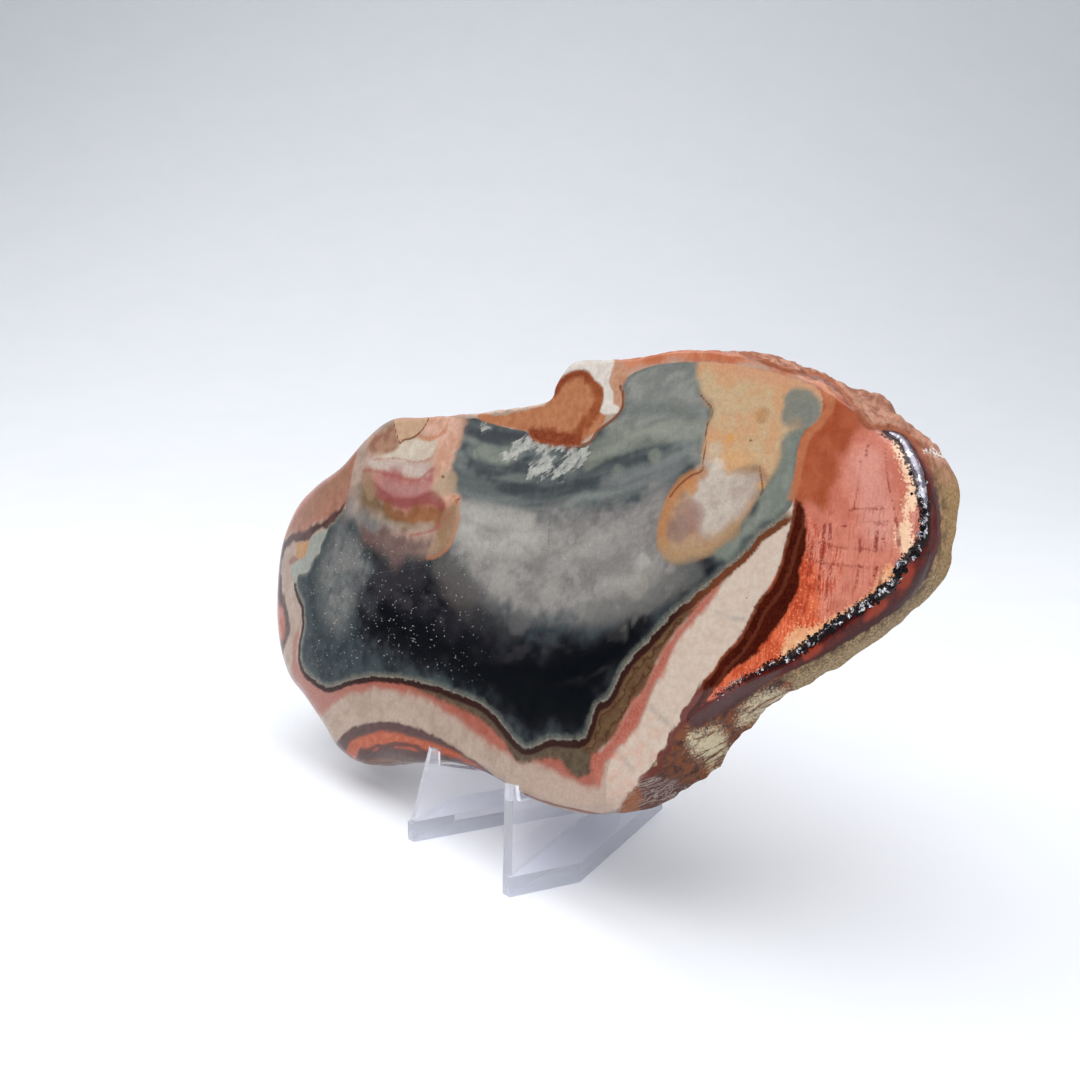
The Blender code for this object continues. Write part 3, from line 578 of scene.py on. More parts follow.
jasperLines = {
    "bodyRim": lowerBody,
    "whiteEdge": whiteEdge,
    "seam": seamLine,
    "rind": rindLine,
}

# thin strokes: width in millimetres, then the points
jasperStrokes = {
    "brownCracks": (
        (0.16, ((11.9, -0.3), (19.5, 0.2), (28.3, 1.6), (35.9, 3))),
        (0.17, ((33.5, 70.2), (35.3, 68.9), (36.6, 67.7), (36.4, 66), (36.1, 65), (36.5, 63), (36.8, 60),
                (36.9, 58.2), (35, 57.3), (33, 55.6), (31.6, 53.6))),
        (0.2, ((-48.7, 62.4), (-46.8, 59.8), (-45.5, 58.3), (-44.4, 57.2), (-43.4, 57.9), (-42.4, 58.2),
               (-41, 58.4), (-39.5, 59), (-38, 60), (-36.8, 61.3), (-36, 63))),
        (0.3, ((16, 71), (17.2, 69.2), (17.4, 67.2), (16, 65.4), (14.3, 64.2), (12.6, 62.9), (11.5, 61.1),
               (9.5, 60.3))),
        (0.14, ((47.5, 59.6), (48.2, 58), (48.8, 56.4), (48.6, 55.6))),
        (0.2, ((-28, 51.7), (-27.4, 51.4), (-27.2, 51.6))), (0.16, ((-22.2, 47.2), (-21.4, 47.6), (-20.8, 48))),
        (0.12, ((-21.6, 46.8), (-21.3, 47.6))), (0.2, ((44.9, 63.5), (45.1, 63.5))),
    ),
    "redScratches": (
        (0.1, ((67.2, 65.1), (67.3, 63.3), (68.2, 60.2), (69.4, 57.3), (70.1, 56), (70.6, 54.3))),
        (0.26, ((71.4, 52.9), (71.7, 51.6), (72.3, 50.2))), (0.16, ((70.6, 54.6), (71.4, 52.9))),
        (0.14, ((63.6, 55), (66.3, 55.5), (68.8, 56))), (0.2, ((66.8, 55.5), (68.4, 55.9))),
        (0.12, ((62.8, 52.6), (65.7, 53.4), (67.7, 53.8), (69.7, 54.1))), (0.26, ((67.9, 53.6), (69.5, 54))),
        (0.26, ((68.3, 52.6), (68.6, 50.1))), (0.26, ((69.2, 52.6), (69.7, 50.4))),
        (0.16, ((66, 51.3), (66.4, 49.6))),
        (0.2, ((64.4, 64.3), (64.5, 62.5))), (0.1, ((63.8, 62.1), (64.2, 58), (64.1, 55))),
        (0.22, ((69.3, 47.9), (68.9, 45.8))), (0.2, ((70.2, 47.3), (70.1, 45.4))),
        (0.14, ((66.6, 48), (66.8, 44.6))),
        (0.3, ((58.8, 50.4), (59.2, 45.2))), (0.24, ((60.2, 52.5), (60.8, 48), (61.1, 43.6))),
        (0.24, ((61.1, 52.7), (61.7, 49.5))), (0.18, ((62.4, 47), (62.6, 42.4))),
        (0.16, ((59.8, 44), (59.6, 39.6))),
        (0.1, ((58.6, 50.1), (64, 49.8), (69.6, 50.3))), (0.1, ((59, 47.2), (65, 47.5), (69, 47.8))),
    ),
    "archStripes": (
        (0.36, ((-36.7, -7.1), (-33.3, -5), (-31.6, -3.9), (-29.9, -3.7), (-26.2, -2.1), (-20.2, -0.8),
                (-15.2, -0.9), (-10.6, -0.5))),
        (0.3, ((-37, -8.4), (-32, -7), (-27.6, -5.4), (-20.6, -3.4))),
    ),
    "whiteChips": (
        (0.2, ((72.8, 63.9), (73.4, 64), (74.3, 63.6), (75.2, 63.3))), (0.12, ((73.8, 64.4), (74.5, 63.8))),
    ),
    "roseStrokes": (
        (0.3, ((-56, 50.4), (-52, 50.7), (-48, 50.5), (-44, 50.4), (-40, 50), (-36, 50), (-34.2, 50.8),
               (-33, 51.8), (-31.6, 52.6))),
        (0.22, ((-34, 38.9), (-31, 39.6), (-28, 40.6), (-25.6, 41.8), (-24.4, 43.4), (-22.8, 44.8))),
        (0.1, ((-46, 62.9), (-40, 63.3), (-34, 63.8), (-28, 64.2))),
        (0.02, ((-54, 52.9), (-50, 53.5), (-46, 53.9), (-42, 54), (-39.5, 53.7), (-36, 54), (-33, 54.8))),
    ),
    "orangeStrokes": (
        (0.35, ((-38.2, 59.4), (-36.5, 58.8), (-34.5, 58.7), (-32.5, 59.2), (-31, 59.9), (-29.8, 60.8))),
        (0.14, ((-29.6, 60.4), (-29.4, 62), (-29.2, 63.4))),
        (0.3, ((-23, 48.2), (-21.2, 47), (-20.4, 45), (-20.2, 43), (-20.4, 41), (-21.2, 38.8), (-22.8, 36.9),
               (-25, 35.7), (-27.4, 35.2))),
        (0.3, ((-50, 62.3), (-46, 62.6), (-42, 62.8), (-38, 63.2), (-35, 63.6), (-30, 64), (-24, 64.3))),
        (0.25, ((35.8, 57.6), (34.4, 56.8), (33, 55.4), (31.8, 53.4))),
        (0.6, ((54, 56), (54.3, 59), (54.2, 62), (54.8, 65), (56.4, 67), (57.4, 69), (57, 71), (55.2, 73))),
    ),
    "greySmudges": (
        (0.4, ((36, 20.9), (38, 20), (40.6, 19))), (0.3, ((30, 12.6), (32, 11.9), (35, 10.4))),
        (0.2, ((30.4, 12.4), (29.6, 10.8))), (0.2, ((45, 37.4), (48, 37), (50, 37.4))),
    ),
    "blackPits": (
        (0.12, ((41, 33.3), (41.05, 33.3))), (0.1, ((39, 21.8), (39.05, 21.8))),
        (0.12, ((40.4, 21.6), (40.45, 21.6))), (0.1, ((47.3, 44.6), (47.35, 44.6))),
        (0.08, ((-20.6, 5.6), (-20.5, 5.6))), (0.1, ((-3.6, 4), (-3.55, 4))),
        (0.09, ((49.7, 40.4), (49.75, 40.4))), (0.1, ((27.2, 65.5), (27.4, 65.6))),
        (0.1, ((40.4, 73.8), (40.5, 73.8))),
    ),
}

# soft strokes laid on the dark middle: points, half width, softness, colour, strength
softStrokes = (
    (((37, 58), (35, 57), (33.2, 55.6), (31.9, 53.4), (31.2, 50.8), (31.2, 48.2), (32, 46)), 0.7, 0.9,
     (176, 122, 80), 0.75),
    (((32, 46), (33.6, 44.6), (36, 44.3), (39, 45.3), (42, 47), (45, 50)), 0.6, 0.9, (164, 132, 96), 0.6),
    (((-53, 47.6), (-49, 46.4), (-44, 45.3), (-39, 45), (-35, 45.8), (-31, 47), (-28, 46.9), (-25.6, 45.6)),
     0.6, 1.0, (134, 66, 64), 0.75),
    (((-50, 41), (-44, 40.6), (-38, 40.4), (-32, 40.7), (-28, 41.4)), 0.3, 0.8, (148, 138, 122), 0.5),
    (((-54.6, 49.6), (-53.4, 47.8), (-51.4, 45.8)), 0.9, 1.6, (150, 124, 98), 0.8),
    (((-53, 40.4), (-50.4, 39.2), (-47, 39)), 0.7, 1.4, (122, 124, 120), 0.6),
    (((-22, 34.4), (-17.5, 31.4), (-12.5, 29.4)), 1.4, 3.4, (94, 88, 85), 0.7),
    (((-13, 26.4), (-5, 26.6), (2, 26)), 0.6, 3.2, (52, 51, 53), 0.6),
    (((-41, 26.4), (-36, 30), (-29, 31)), 1.2, 3.0, (62, 59, 62), 0.5),
    (((-50.5, 27), (-47.5, 24), (-43, 22.6)), 0.6, 3.0, (66, 68, 72), 0.6),
    (((-24, 50.6), (-18, 50), (-12, 49)), 1.0, 1.6, (116, 120, 117), 0.7),
    (((17, 55), (24, 56.6), (31, 58.6)), 0.9, 1.8, (118, 119, 118), 0.6),
    (((36, 75.4), (42, 74.4), (48, 73.2), (54, 71.4)), 0.9, 1.8, (198, 144, 110), 0.75),
    (((50.9, 70.0), (52.6, 69.9), (54.2, 69.0), (55.2, 67.4)), 1.0, 1.1, (120, 122, 113), 0.95),
    (((51.0, 67.8), (53.6, 67.4)), 1.1, 1.1, (120, 122, 113), 0.95),
    (((38, 61.6), (41, 60.2), (45.6, 60.6)), 0.5, 1.2, (204, 152, 106), 0.5),
    (((-23, 61.4), (-18, 60.7), (-12, 60.1), (-6, 60.9)), 0.6, 1.0, (70, 72, 76), 0.7),
    (((-24, 51.6), (-14, 51), (-4, 50.8), (4, 52), (12, 55), (20, 58.2), (28, 61)), 0.7, 1.5,
     (62, 68, 70), 0.45),
    (((17, 66.8), (22, 67.4), (28, 67.6), (34, 66.2)), 0.4, 1.3, (104, 108, 104), 0.6),
    (((12, 57.6), (20, 61.4), (28, 63.8), (35, 64.6)), 0.9, 1.3, (142, 144, 130), 0.45),
    (((-20, 46.2), (-10, 46.2), (0, 46)), 0.8, 1.6, (178, 173, 165), 0.5),
    (((39, 42.4), (33, 38.6), (26, 34.8), (20, 32.6)), 1.0, 2.4, (100, 99, 96), 0.65),
    (((14, 39.6), (19, 40.4), (24, 41.2)), 0.8, 1.8, (116, 112, 109), 0.55),
    (((-19.6, 33.2), (-12, 31.4), (-5, 29.6)), 0.8, 1.8, (92, 88, 88), 0.5),
)
# the same on the outer bands: the first under their colours, the others over them
creamStrokes = (
    (((14, 1), (20, 1.6), (26, 2.2), (33, 5)), 2.0, 4.0, (178, 154, 139), 0.8),
)
outerStrokes = (
    # darker brown across the left end, where the face turns away: painted shade
    (((-77, 39.5), (-69.4, 44.2), (-64, 47.6)), 0.8, 3.2, (152, 116, 94), 0.5),
    (((64.8, 61.5), (66.8, 57.6), (68.6, 53)), 0.8, 3.0, (212, 154, 140), 0.6),
    (((-86, 41), (-78, 47), (-70, 51.5), (-62, 57)), 2.2, 1.8, (194, 112, 98), 0.6),
)
# soft round spots on the dark middle: x, v, radius, softness, colour, strength
softSpots = (
    (19, 57, 1.0, 0.9, (126, 132, 120), 0.55), (26.6, 59.5, 0.9, 0.8, (132, 136, 124), 0.6),
    (28.5, 42.9, 0.9, 0.7, (164, 160, 154), 0.8), (20, 43.3, 1.4, 1.0, (146, 143, 140), 0.6),
    (24, 45.8, 1.2, 1.0, (142, 140, 136), 0.5), (17, 46.4, 0.8, 0.7, (146, 143, 139), 0.6),
    (10.4, 36.2, 1.0, 0.8, (150, 146, 140), 0.5), (22.6, 37, 0.9, 0.8, (140, 137, 132), 0.6),
    (31, 40.6, 1.2, 1.0, (128, 126, 120), 0.6), (16.6, 33, 0.8, 0.8, (120, 118, 115), 0.6),
    (13.4, 38.7, 0.9, 0.8, (152, 148, 143), 0.6), (8.6, 33.4, 1.6, 1.2, (150, 146, 140), 0.6),
    (2.4, 27.4, 1.8, 1.4, (96, 94, 94), 0.6), (28, 38.6, 1.6, 1.2, (148, 143, 134), 0.6),
    (41, 63.5, 0.7, 0.8, (204, 148, 86), 0.85), (45.9, 67.3, 0.9, 0.9, (170, 126, 86), 0.75),
    (38.4, 61.8, 1.2, 1.3, (190, 173, 150), 0.75), (35.4, 55.6, 0.7, 0.9, (184, 126, 78), 0.7),
    (42.4, 60.6, 1.3, 1.2, (204, 158, 112), 0.6), (48.4, 57.2, 0.8, 0.7, (196, 146, 98), 0.6),
    (36.2, 51.2, 2.0, 1.4, (150, 118, 110), 0.6), (34, 48.4, 1.4, 1.2, (136, 114, 104), 0.6),
    (39.6, 59.6, 0.4, 1.2, (214, 208, 198), 0.5), (-26, 50.4, 2.0, 2.0, (172, 148, 122), 0.8),
    (52.3, 66.3, 0.3, 1.4, (162, 134, 104), 0.5),
)


def nearestStroke(x, v, strokes):
    # distance to the edge of the nearest stroke, below zero on it
    nearest = np.full(len(x), 1e9, np.float32)
    for width, points in strokes:
        nearest = np.minimum(nearest, lineDistance(x, v, throughPoints(points, False, 3)) - width)
    return nearest


def cloudiness(spots, octaves):
    # soft noise from about -1 to 1 at each spot
    return np.array([noise.fractal(Vector(spot), 0.7, 2.0, octaves) for spot in spots.tolist()], np.float32)


def softShare(values, low, high):
    share = np.clip((values - low) / (high - low), 0, 1)
    return share * share * (3 - 2 * share)


def tintOver(under, colour, mask):
    over = np.array(paintColour(*colour)[:3])
    return under + (over - under) * mask[:, None]


def tintLayers(tint, distances, layers, wander, mottle):
    for name, first, second, soft, wobble, strength in layers:
        mixed = tintOver(np.tile(paintColour(*first)[:3], (len(mottle), 1)), second, mottle)
        mask = strength * softShare(distances[name] + wander * wobble, -soft, soft)
        tint = tint + (mixed - tint) * mask[:, None]
    return tint


def tintStrokes(tint, x, v, wander, strokes):
    for points, width, soft, colour, strength in strokes:
        distance = lineDistance(x, v, throughPoints(points, False, 3)) + wander * 0.35
        tint = tintOver(tint, colour, strength * softShare(distance, width + soft, width))
    return tint


# ground colours: two pairs that mottle, and two colours that lie over them
groundTones = {
    "outer": ((176, 155, 140), (164, 142, 126)),
    "middle": ((62, 70, 73), (46, 54, 58)),
    "leftEnd": (166, 122, 112),
    "nightHaze": (66, 62, 64),
}


def tintStone(x, v, depth, distances):
    # the stone's soft colours, mixed on the vertices: the outer bands, and the dark middle
    place = np.stack([x, v, depth], axis=1)
    blotch = cloudiness(place * 0.15, 3)
    puff = cloudiness(place * 0.42 + 31.0, 2)
    wander = 1.3 * blotch + 0.7 * puff
    mottle = softShare(0.6 * blotch + 0.6 * puff, -0.35, 0.45)

    def ground(first, second):
        return tintOver(np.tile(paintColour(*first)[:3], (len(x), 1)), second, mottle)

    outer = ground(*groundTones["outer"])
    outer = tintStrokes(outer, x, v, wander, creamStrokes)
    outer = tintLayers(outer, distances, outerTints, wander, mottle)
    leftEnd = 0.75 * softShare(distances["salmon"], -0.9, 0.9) * softShare(-x, 34, 58)
    outer = tintOver(outer, groundTones["leftEnd"], leftEnd)
    outer = tintStrokes(outer, x, v, wander, outerStrokes)
    # streaks that rise to the right, as the layers do
    rise = v - 0.0055 * np.clip(x + 12, 0, None) ** 2
    flow = cloudiness(np.stack([x * 0.07, rise * 0.45, depth * 0.2], axis=1), 2)
    drift = cloudiness(np.stack([x * 0.11 + 9.0, rise * 0.24, depth * 0.2], axis=1), 3)
    body = ground(*groundTones["middle"])
    body = tintLayers(body, distances, middleTints, wander, mottle)
    slate = softShare(distances["slate"] + wander * 2, -1.5, 1.5)
    mist = softShare(distances["mist"] + wander, -1.5, 1.5)
    cloud = softShare(distances["cloud"] + wander * 2, -3.0, 3.0)
    night = softShare(distances["night"] + wander * 2, -3.0, 3.0)
    # zone, pattern, colour, strength, where the pattern starts to show and where it is full
    for zone, pattern, colour, strength, low, high in (
            (slate, flow, (58, 64, 67), 0.7, 0.05, 0.5), (slate, -flow, (140, 144, 138), 0.4, 0.1, 0.6),
            (mist, flow, (104, 108, 104), 0.6, 0.0, 0.5), (cloud, drift, (182, 177, 169), 0.25, 0.0, 0.55),
            (cloud, -drift, (96, 92, 93), 0.3, 0.0, 0.6), (cloud, puff, (172, 167, 160), 0.3, 0.05, 0.4)):
        body = tintOver(body, colour, strength * zone * softShare(pattern, low, high))
    haze = 0.5 * night * softShare(drift, 0.1, 0.6) * softShare(v, 17.0, 26.0)
    body = tintOver(body, groundTones["nightHaze"], haze)
    body = tintLayers(body, distances, featureTints, wander, mottle)
    body = tintStrokes(body, x, v, wander, softStrokes)
    for spotX, spotV, radius, soft, colour, strength in softSpots:
        distance = np.hypot(x - spotX, (v - spotV) * 1.2) + wander * 0.7
        body = tintOver(body, colour, strength * softShare(distance, radius + soft, radius))
    return outer, body


def markSlice(piece):
    # writes each mark's distance on the slice's vertices, for the material to read
    mesh = piece.data
    spots = np.zeros(len(mesh.vertices) * 3, np.float32)
    mesh.vertices.foreach_get("co", spots)
    spots = spots.reshape(-1, 3)       # x, v, d in millimetres, before the slice is set in place
    bent = np.clip(jasperSlice["bendStart"] - spots[:, 0], 0, None) / jasperSlice["bendLength"]
    below = np.copy(spots)
    below[:, 2] -= jasperSlice["bendDepth"] * bent * bent
    x, v = layerPlace(below)

    def store(name, values):
        mesh.attributes.new(name, "FLOAT", "POINT").data.foreach_set("value", values.astype(np.float32))

    distances = {name: loopDistance(x, v, throughPoints(loop, True, 2)) for name, loop in jasperLoops.items()}
    painted = [layer[0] for layer in outerTints + middleTints + featureTints]
    for name, values in distances.items():
        if name not in painted or name == "ember":     # ember also has marks in the material
            store(name, values)
    for name, patches in jasperPatches.items():
        each = [loopDistance(x, v, throughPoints(loop, True, 2)) for loop in patches]
        store(name, np.maximum.reduce(each))
    for name, strokes in jasperStrokes.items():
        store(name, nearestStroke(x, v, strokes))
    for name, line in jasperLines.items():
        store(name, lineDistance(x, v, throughPoints(line, False, 3)))
    # the stone to the right of the rind's line, and of the seam
    farCorners = [(120, -30), (120, 110)]
    rindLoop = np.vstack([throughPoints(rindLine, False, 3), [(38, 12), (38, -30), *farCorners, (40, 110)]])
    seamLoop = np.vstack([throughPoints(seamLine, False, 3),
                          [(44, 22), (44, -30), *farCorners, (64, 110), (64, 68)]])
    rindSide, seamSide = loopDistance(x, v, rindLoop), loopDistance(x, v, seamLoop)
    store("rindSide", rindSide)
    store("seamSide", seamSide)
    rough = np.clip(np.maximum(rindSide, distances["facet"]) * 2.0 + 0.5, 0, 1)
    store("roughStone", np.maximum(rough, 0.3 * softShare(seamSide, 0.4, 1.4)))
    sparkZone = softShare(v, 42.0, 34.0) * softShare(x, 0.0, -16.0)
    store("sparkle", softShare(distances["body"], 1.0, 3.0) * sparkZone)
    place = np.stack([x, v, spots[:, 2]], axis=1).astype(np.float32)
    mesh.attributes.new("layerPlace", "FLOAT_VECTOR", "POINT").data.foreach_set("vector", place.ravel())
    store("behindFace", below[:, 2])
    for name, tint in zip(("outerTint", "bodyTint"), tintStone(x, v, spots[:, 2], distances)):
        values = np.column_stack([tint, np.ones(len(x))]).astype(np.float32)
        mesh.attributes.new(name, "FLOAT_COLOR", "POINT").data.foreach_set("color", values.ravel())


# colour layers of the stone, the lowest first: outline, two colours that mottle into each other,
# softness of the edge, how far the edge wanders (both in millimetres), strength
outerTints = (
    ("side", (170, 121, 102), (152, 108, 91), 1.0, 0.8, 1.0),
    ("plum", (78, 54, 52), (94, 68, 64), 0.5, 0.5, 1.0),
    ("sideGlow", (184, 124, 108), (168, 100, 84), 1.0, 0.8, 1.0),
    ("salmon", (150, 76, 60), (164, 94, 78), 0.9, 0.7, 0.95),
    ("ember", (216, 108, 72), (184, 76, 46), 0.6, 0.9, 1.0),
    ("redBrown", (154, 75, 48), (168, 89, 61), 1.2, 0.8, 1.0),
    ("pinkField", (206, 130, 110), (192, 112, 94), 1.0, 0.8, 1.0),
    ("rimOrange", (196, 128, 98), (182, 104, 72), 0.9, 0.6, 1.0),
)
middleTints = (
    ("mist", (137, 138, 132), (120, 122, 117), 1.2, 0.9, 1.0),
    ("slate", (110, 115, 112), (92, 98, 97), 1.8, 1.2, 1.0),
    ("mistPale", (134, 137, 124), (118, 121, 112), 1.4, 1.0, 0.7),
    ("cloud", (144, 140, 135), (122, 118, 116), 3.0, 1.8, 1.0),
    ("cloudPale", (178, 173, 165), (152, 149, 143), 2.6, 1.4, 0.85),
    ("leftGrey", (120, 119, 117), (92, 96, 96), 3.6, 1.8, 1.0),
    ("night", (34, 33, 38), (25, 26, 31), 3.2, 2.0, 1.0),
    ("deepNight", (8, 11, 15), (11, 14, 18), 3.0, 1.5, 1.0),
    ("slateDark", (74, 80, 82), (62, 68, 70), 1.6, 1.2, 0.9),
    ("slateTop", (80, 83, 86), (66, 70, 74), 0.9, 0.7, 0.95),
)
featureTints = (
    ("greenPatch", (120, 126, 114), (136, 140, 130), 0.8, 0.8, 0.9),
    ("tan", (188, 162, 128), (194, 150, 112), 0.8, 0.5, 1.0),
    ("teardrop", (174, 142, 112), (154, 114, 86), 0.7, 0.3, 0.95),
    ("teardropCore", (190, 178, 166), (172, 156, 144), 1.5, 1.2, 1.0),
    ("teardropMauve", (150, 116, 100), (138, 102, 86), 1.2, 0.8, 0.75),
    ("blueBand", (130, 134, 123), (116, 122, 113), 0.9, 0.6, 0.95),
    ("column", (184, 154, 136), (168, 132, 114), 1.2, 0.6, 1.0),
    ("columnGrey", (124, 118, 114), (112, 104, 100), 2.0, 1.0, 0.9),
    ("mauve", (118, 96, 90), (104, 84, 80), 1.8, 1.0, 0.95),
    ("columnPeach", (210, 168, 148), (192, 146, 122), 1.2, 0.8, 1.0),
    ("columnPale", (192, 174, 164), (180, 154, 146), 0.8, 0.4, 1.0),
    ("rose", (176, 118, 110), (160, 98, 94), 1.3, 0.9, 1.0),
    ("roseLight", (180, 136, 130), (164, 118, 112), 1.1, 0.8, 0.8),
    ("columnOlive", (96, 76, 50), (114, 92, 66), 1.4, 0.6, 0.9),
    ("ochre", (146, 96, 64), (130, 86, 58), 1.3, 0.8, 0.95),
    ("ochreEdge", (156, 128, 102), (146, 114, 88), 0.9, 0.3, 0.95),
    ("columnCream", (206, 194, 176), (192, 176, 158), 0.6, 0.4, 1.0),
    ("tanEdge", (162, 146, 132), (146, 128, 114), 0.8, 0.4, 0.9),
    ("tanBlob", (166, 128, 106), (146, 104, 86), 0.8, 0.4, 1.0),
    # pale streak at the start of the left bend: painted highlight
    ("paintedHighlightStreak", (166, 154, 146), (150, 138, 130), 1.4, 0.5, 0.5),
)
paleBands = (
    ("greyOlive", (98, 84, 66), (76, 60, 48), 0.5, 0.8, 1.0),
    ("olive", (106, 82, 58), (88, 62, 44), 0.4, 0.4, 1.0),
    ("white", (202, 187, 172), (195, 173, 156), 0.3, 0.5, 1.0),
)
edgeBands = (
    ("pinkEdge", (164, 84, 68), (176, 106, 90), 0.7, 1.2, 0.95),
    ("archOuter", (92, 66, 62), (78, 54, 52), 0.35, 0.6, 1.0),
    ("archOrange", (186, 102, 72), (158, 72, 46), 0.5, 0.9, 1.0),
)
darkBands = (
    ("darkBand", (56, 13, 7), (74, 26, 14), 0.3, 0.9, 1.0),
)
raggedLayers = (
    ("creamPatch", (242, 206, 172), (232, 190, 158), 0.3, 1.0, 1.0),
    ("creamLower", (238, 196, 152), (216, 150, 108), 0.25, 1.2, 0.9),
)
rimSpots = (
    ("paleGreen", (162, 162, 152), (142, 146, 138), 0.4, 0.5, 1.0),
    ("orangeSpot", (186, 146, 104), (172, 128, 92), 0.4, 0.5, 1.0),
    ("brownHook", (136, 96, 84), (150, 112, 98), 0.4, 0.5, 0.9),
)
notchLayers = (
    ("notch", (184, 124, 88), (164, 104, 72), 0.25, 0.5, 1.0),
    ("notchRust", (152, 82, 48), (130, 66, 40), 0.8, 1.2, 0.9),
    ("notchDark", (112, 46, 28), (140, 72, 46), 0.6, 1.2, 0.95),
    ("notchTan", (190, 148, 122), (176, 124, 96), 0.8, 0.6, 1.0),
    ("notchWhite", (216, 208, 198), (200, 190, 180), 0.3, 0.5, 1.0),
    ("chipStrip", (220, 210, 200), (200, 156, 130), 0.3, 1.0, 1.0),
)


# colours of the stone's lines, stripes, seams and small marks
stoneTones = {
    "brushedRed": (158, 50, 36),
    "emberRed": (176, 58, 34),
    "emberPale": (224, 148, 114),
    "whiteLowPink": (208, 158, 140),
    "whiteLowGrey": (182, 156, 141),
    "smudge": (158, 148, 142),
    "ripple": (66, 40, 26),
    "stripeMiddle": (94, 46, 30),
    "stripeEdge": (112, 58, 38),
    "lineLeft": (50, 26, 22),
    "lineRight": (106, 60, 38),
    "haloPale": (136, 132, 120),
    "haloDark": (92, 92, 84),
    "innerGlow": (124, 126, 116),
    "fleckPale": (194, 192, 184),
    "fleckGrey": (146, 148, 142),
    "tanFacetPale": (196, 164, 136),
    "tanFacetDark": (184, 148, 120),
    "bubble": (172, 169, 162),
    "wallRust": (172, 106, 76),
    "wallRustDark": (122, 78, 58),
    "wallEarth": (148, 110, 90),
    "wallEarthDark": (116, 86, 70),
    "seamRed": (104, 24, 10),
    "seamDeep": (60, 13, 9),
    "seamGlow": (150, 52, 26),
    "seamOuter": (60, 17, 15),
    "seamBlack": (28, 22, 25),
    "rindMauve": (98, 72, 76),
    "rindLow": (118, 98, 72),
    "rindHigh": (164, 124, 76),
    "rindPale": (188, 160, 120),
    "rindShade": (84, 66, 52),
    "rindPink": (158, 104, 82),
    "rindPinkPale": (196, 144, 120),
    "rindRust": (158, 84, 48),
    "whiteChip": (232, 224, 218),
    "facetBrown": (108, 70, 54),
    "facetDark": (68, 46, 40),
    "facetStain": (134, 76, 46),
    "facetLowest": (98, 66, 60),
    "facetThread": (184, 170, 164),
    "facetRust": (160, 98, 60),
    "facetCream": (206, 192, 160),
    "facetPlum": (80, 52, 50),
    "facetSkin": (106, 52, 44),
    "spark": (224, 224, 216),
}

# fine strokes: outline, colour, how far from the stroke its colour starts and is full (millimetres),
# how far it wanders, strength
strokeLayers = (
    ("roseStrokes", (158, 88, 82), 0.4, -0.2, 0.5, 0.6),
    ("orangeStrokes", (184, 118, 82), 0.4, -0.2, 0.5, 0.6),
    ("brownCracks", (112, 62, 40), 0.12, -0.08, 0.1, 0.85),
    ("archStripes", (88, 54, 50), 0.3, -0.1, 0.7, 0.9),
    ("redScratches", (124, 36, 36), 0.2, -0.06, 0.3, 0.8),
    ("blackPits", (52, 44, 40), 0.08, -0.04, 0.0, 0.9),
)

stoneFinish = {
    "polish": (0.15, 0.1, 0.12),     # roughness of the polished face, its smears, their size
    "matt": 0.85,                    # roughness of the rind and the facet
    "ior": 1.54,
    "specular": 0.3,
    "bump": 0.8,
    "bubbles": 0.34,                 # in a millimetre
    "sparks": 2.1,
}


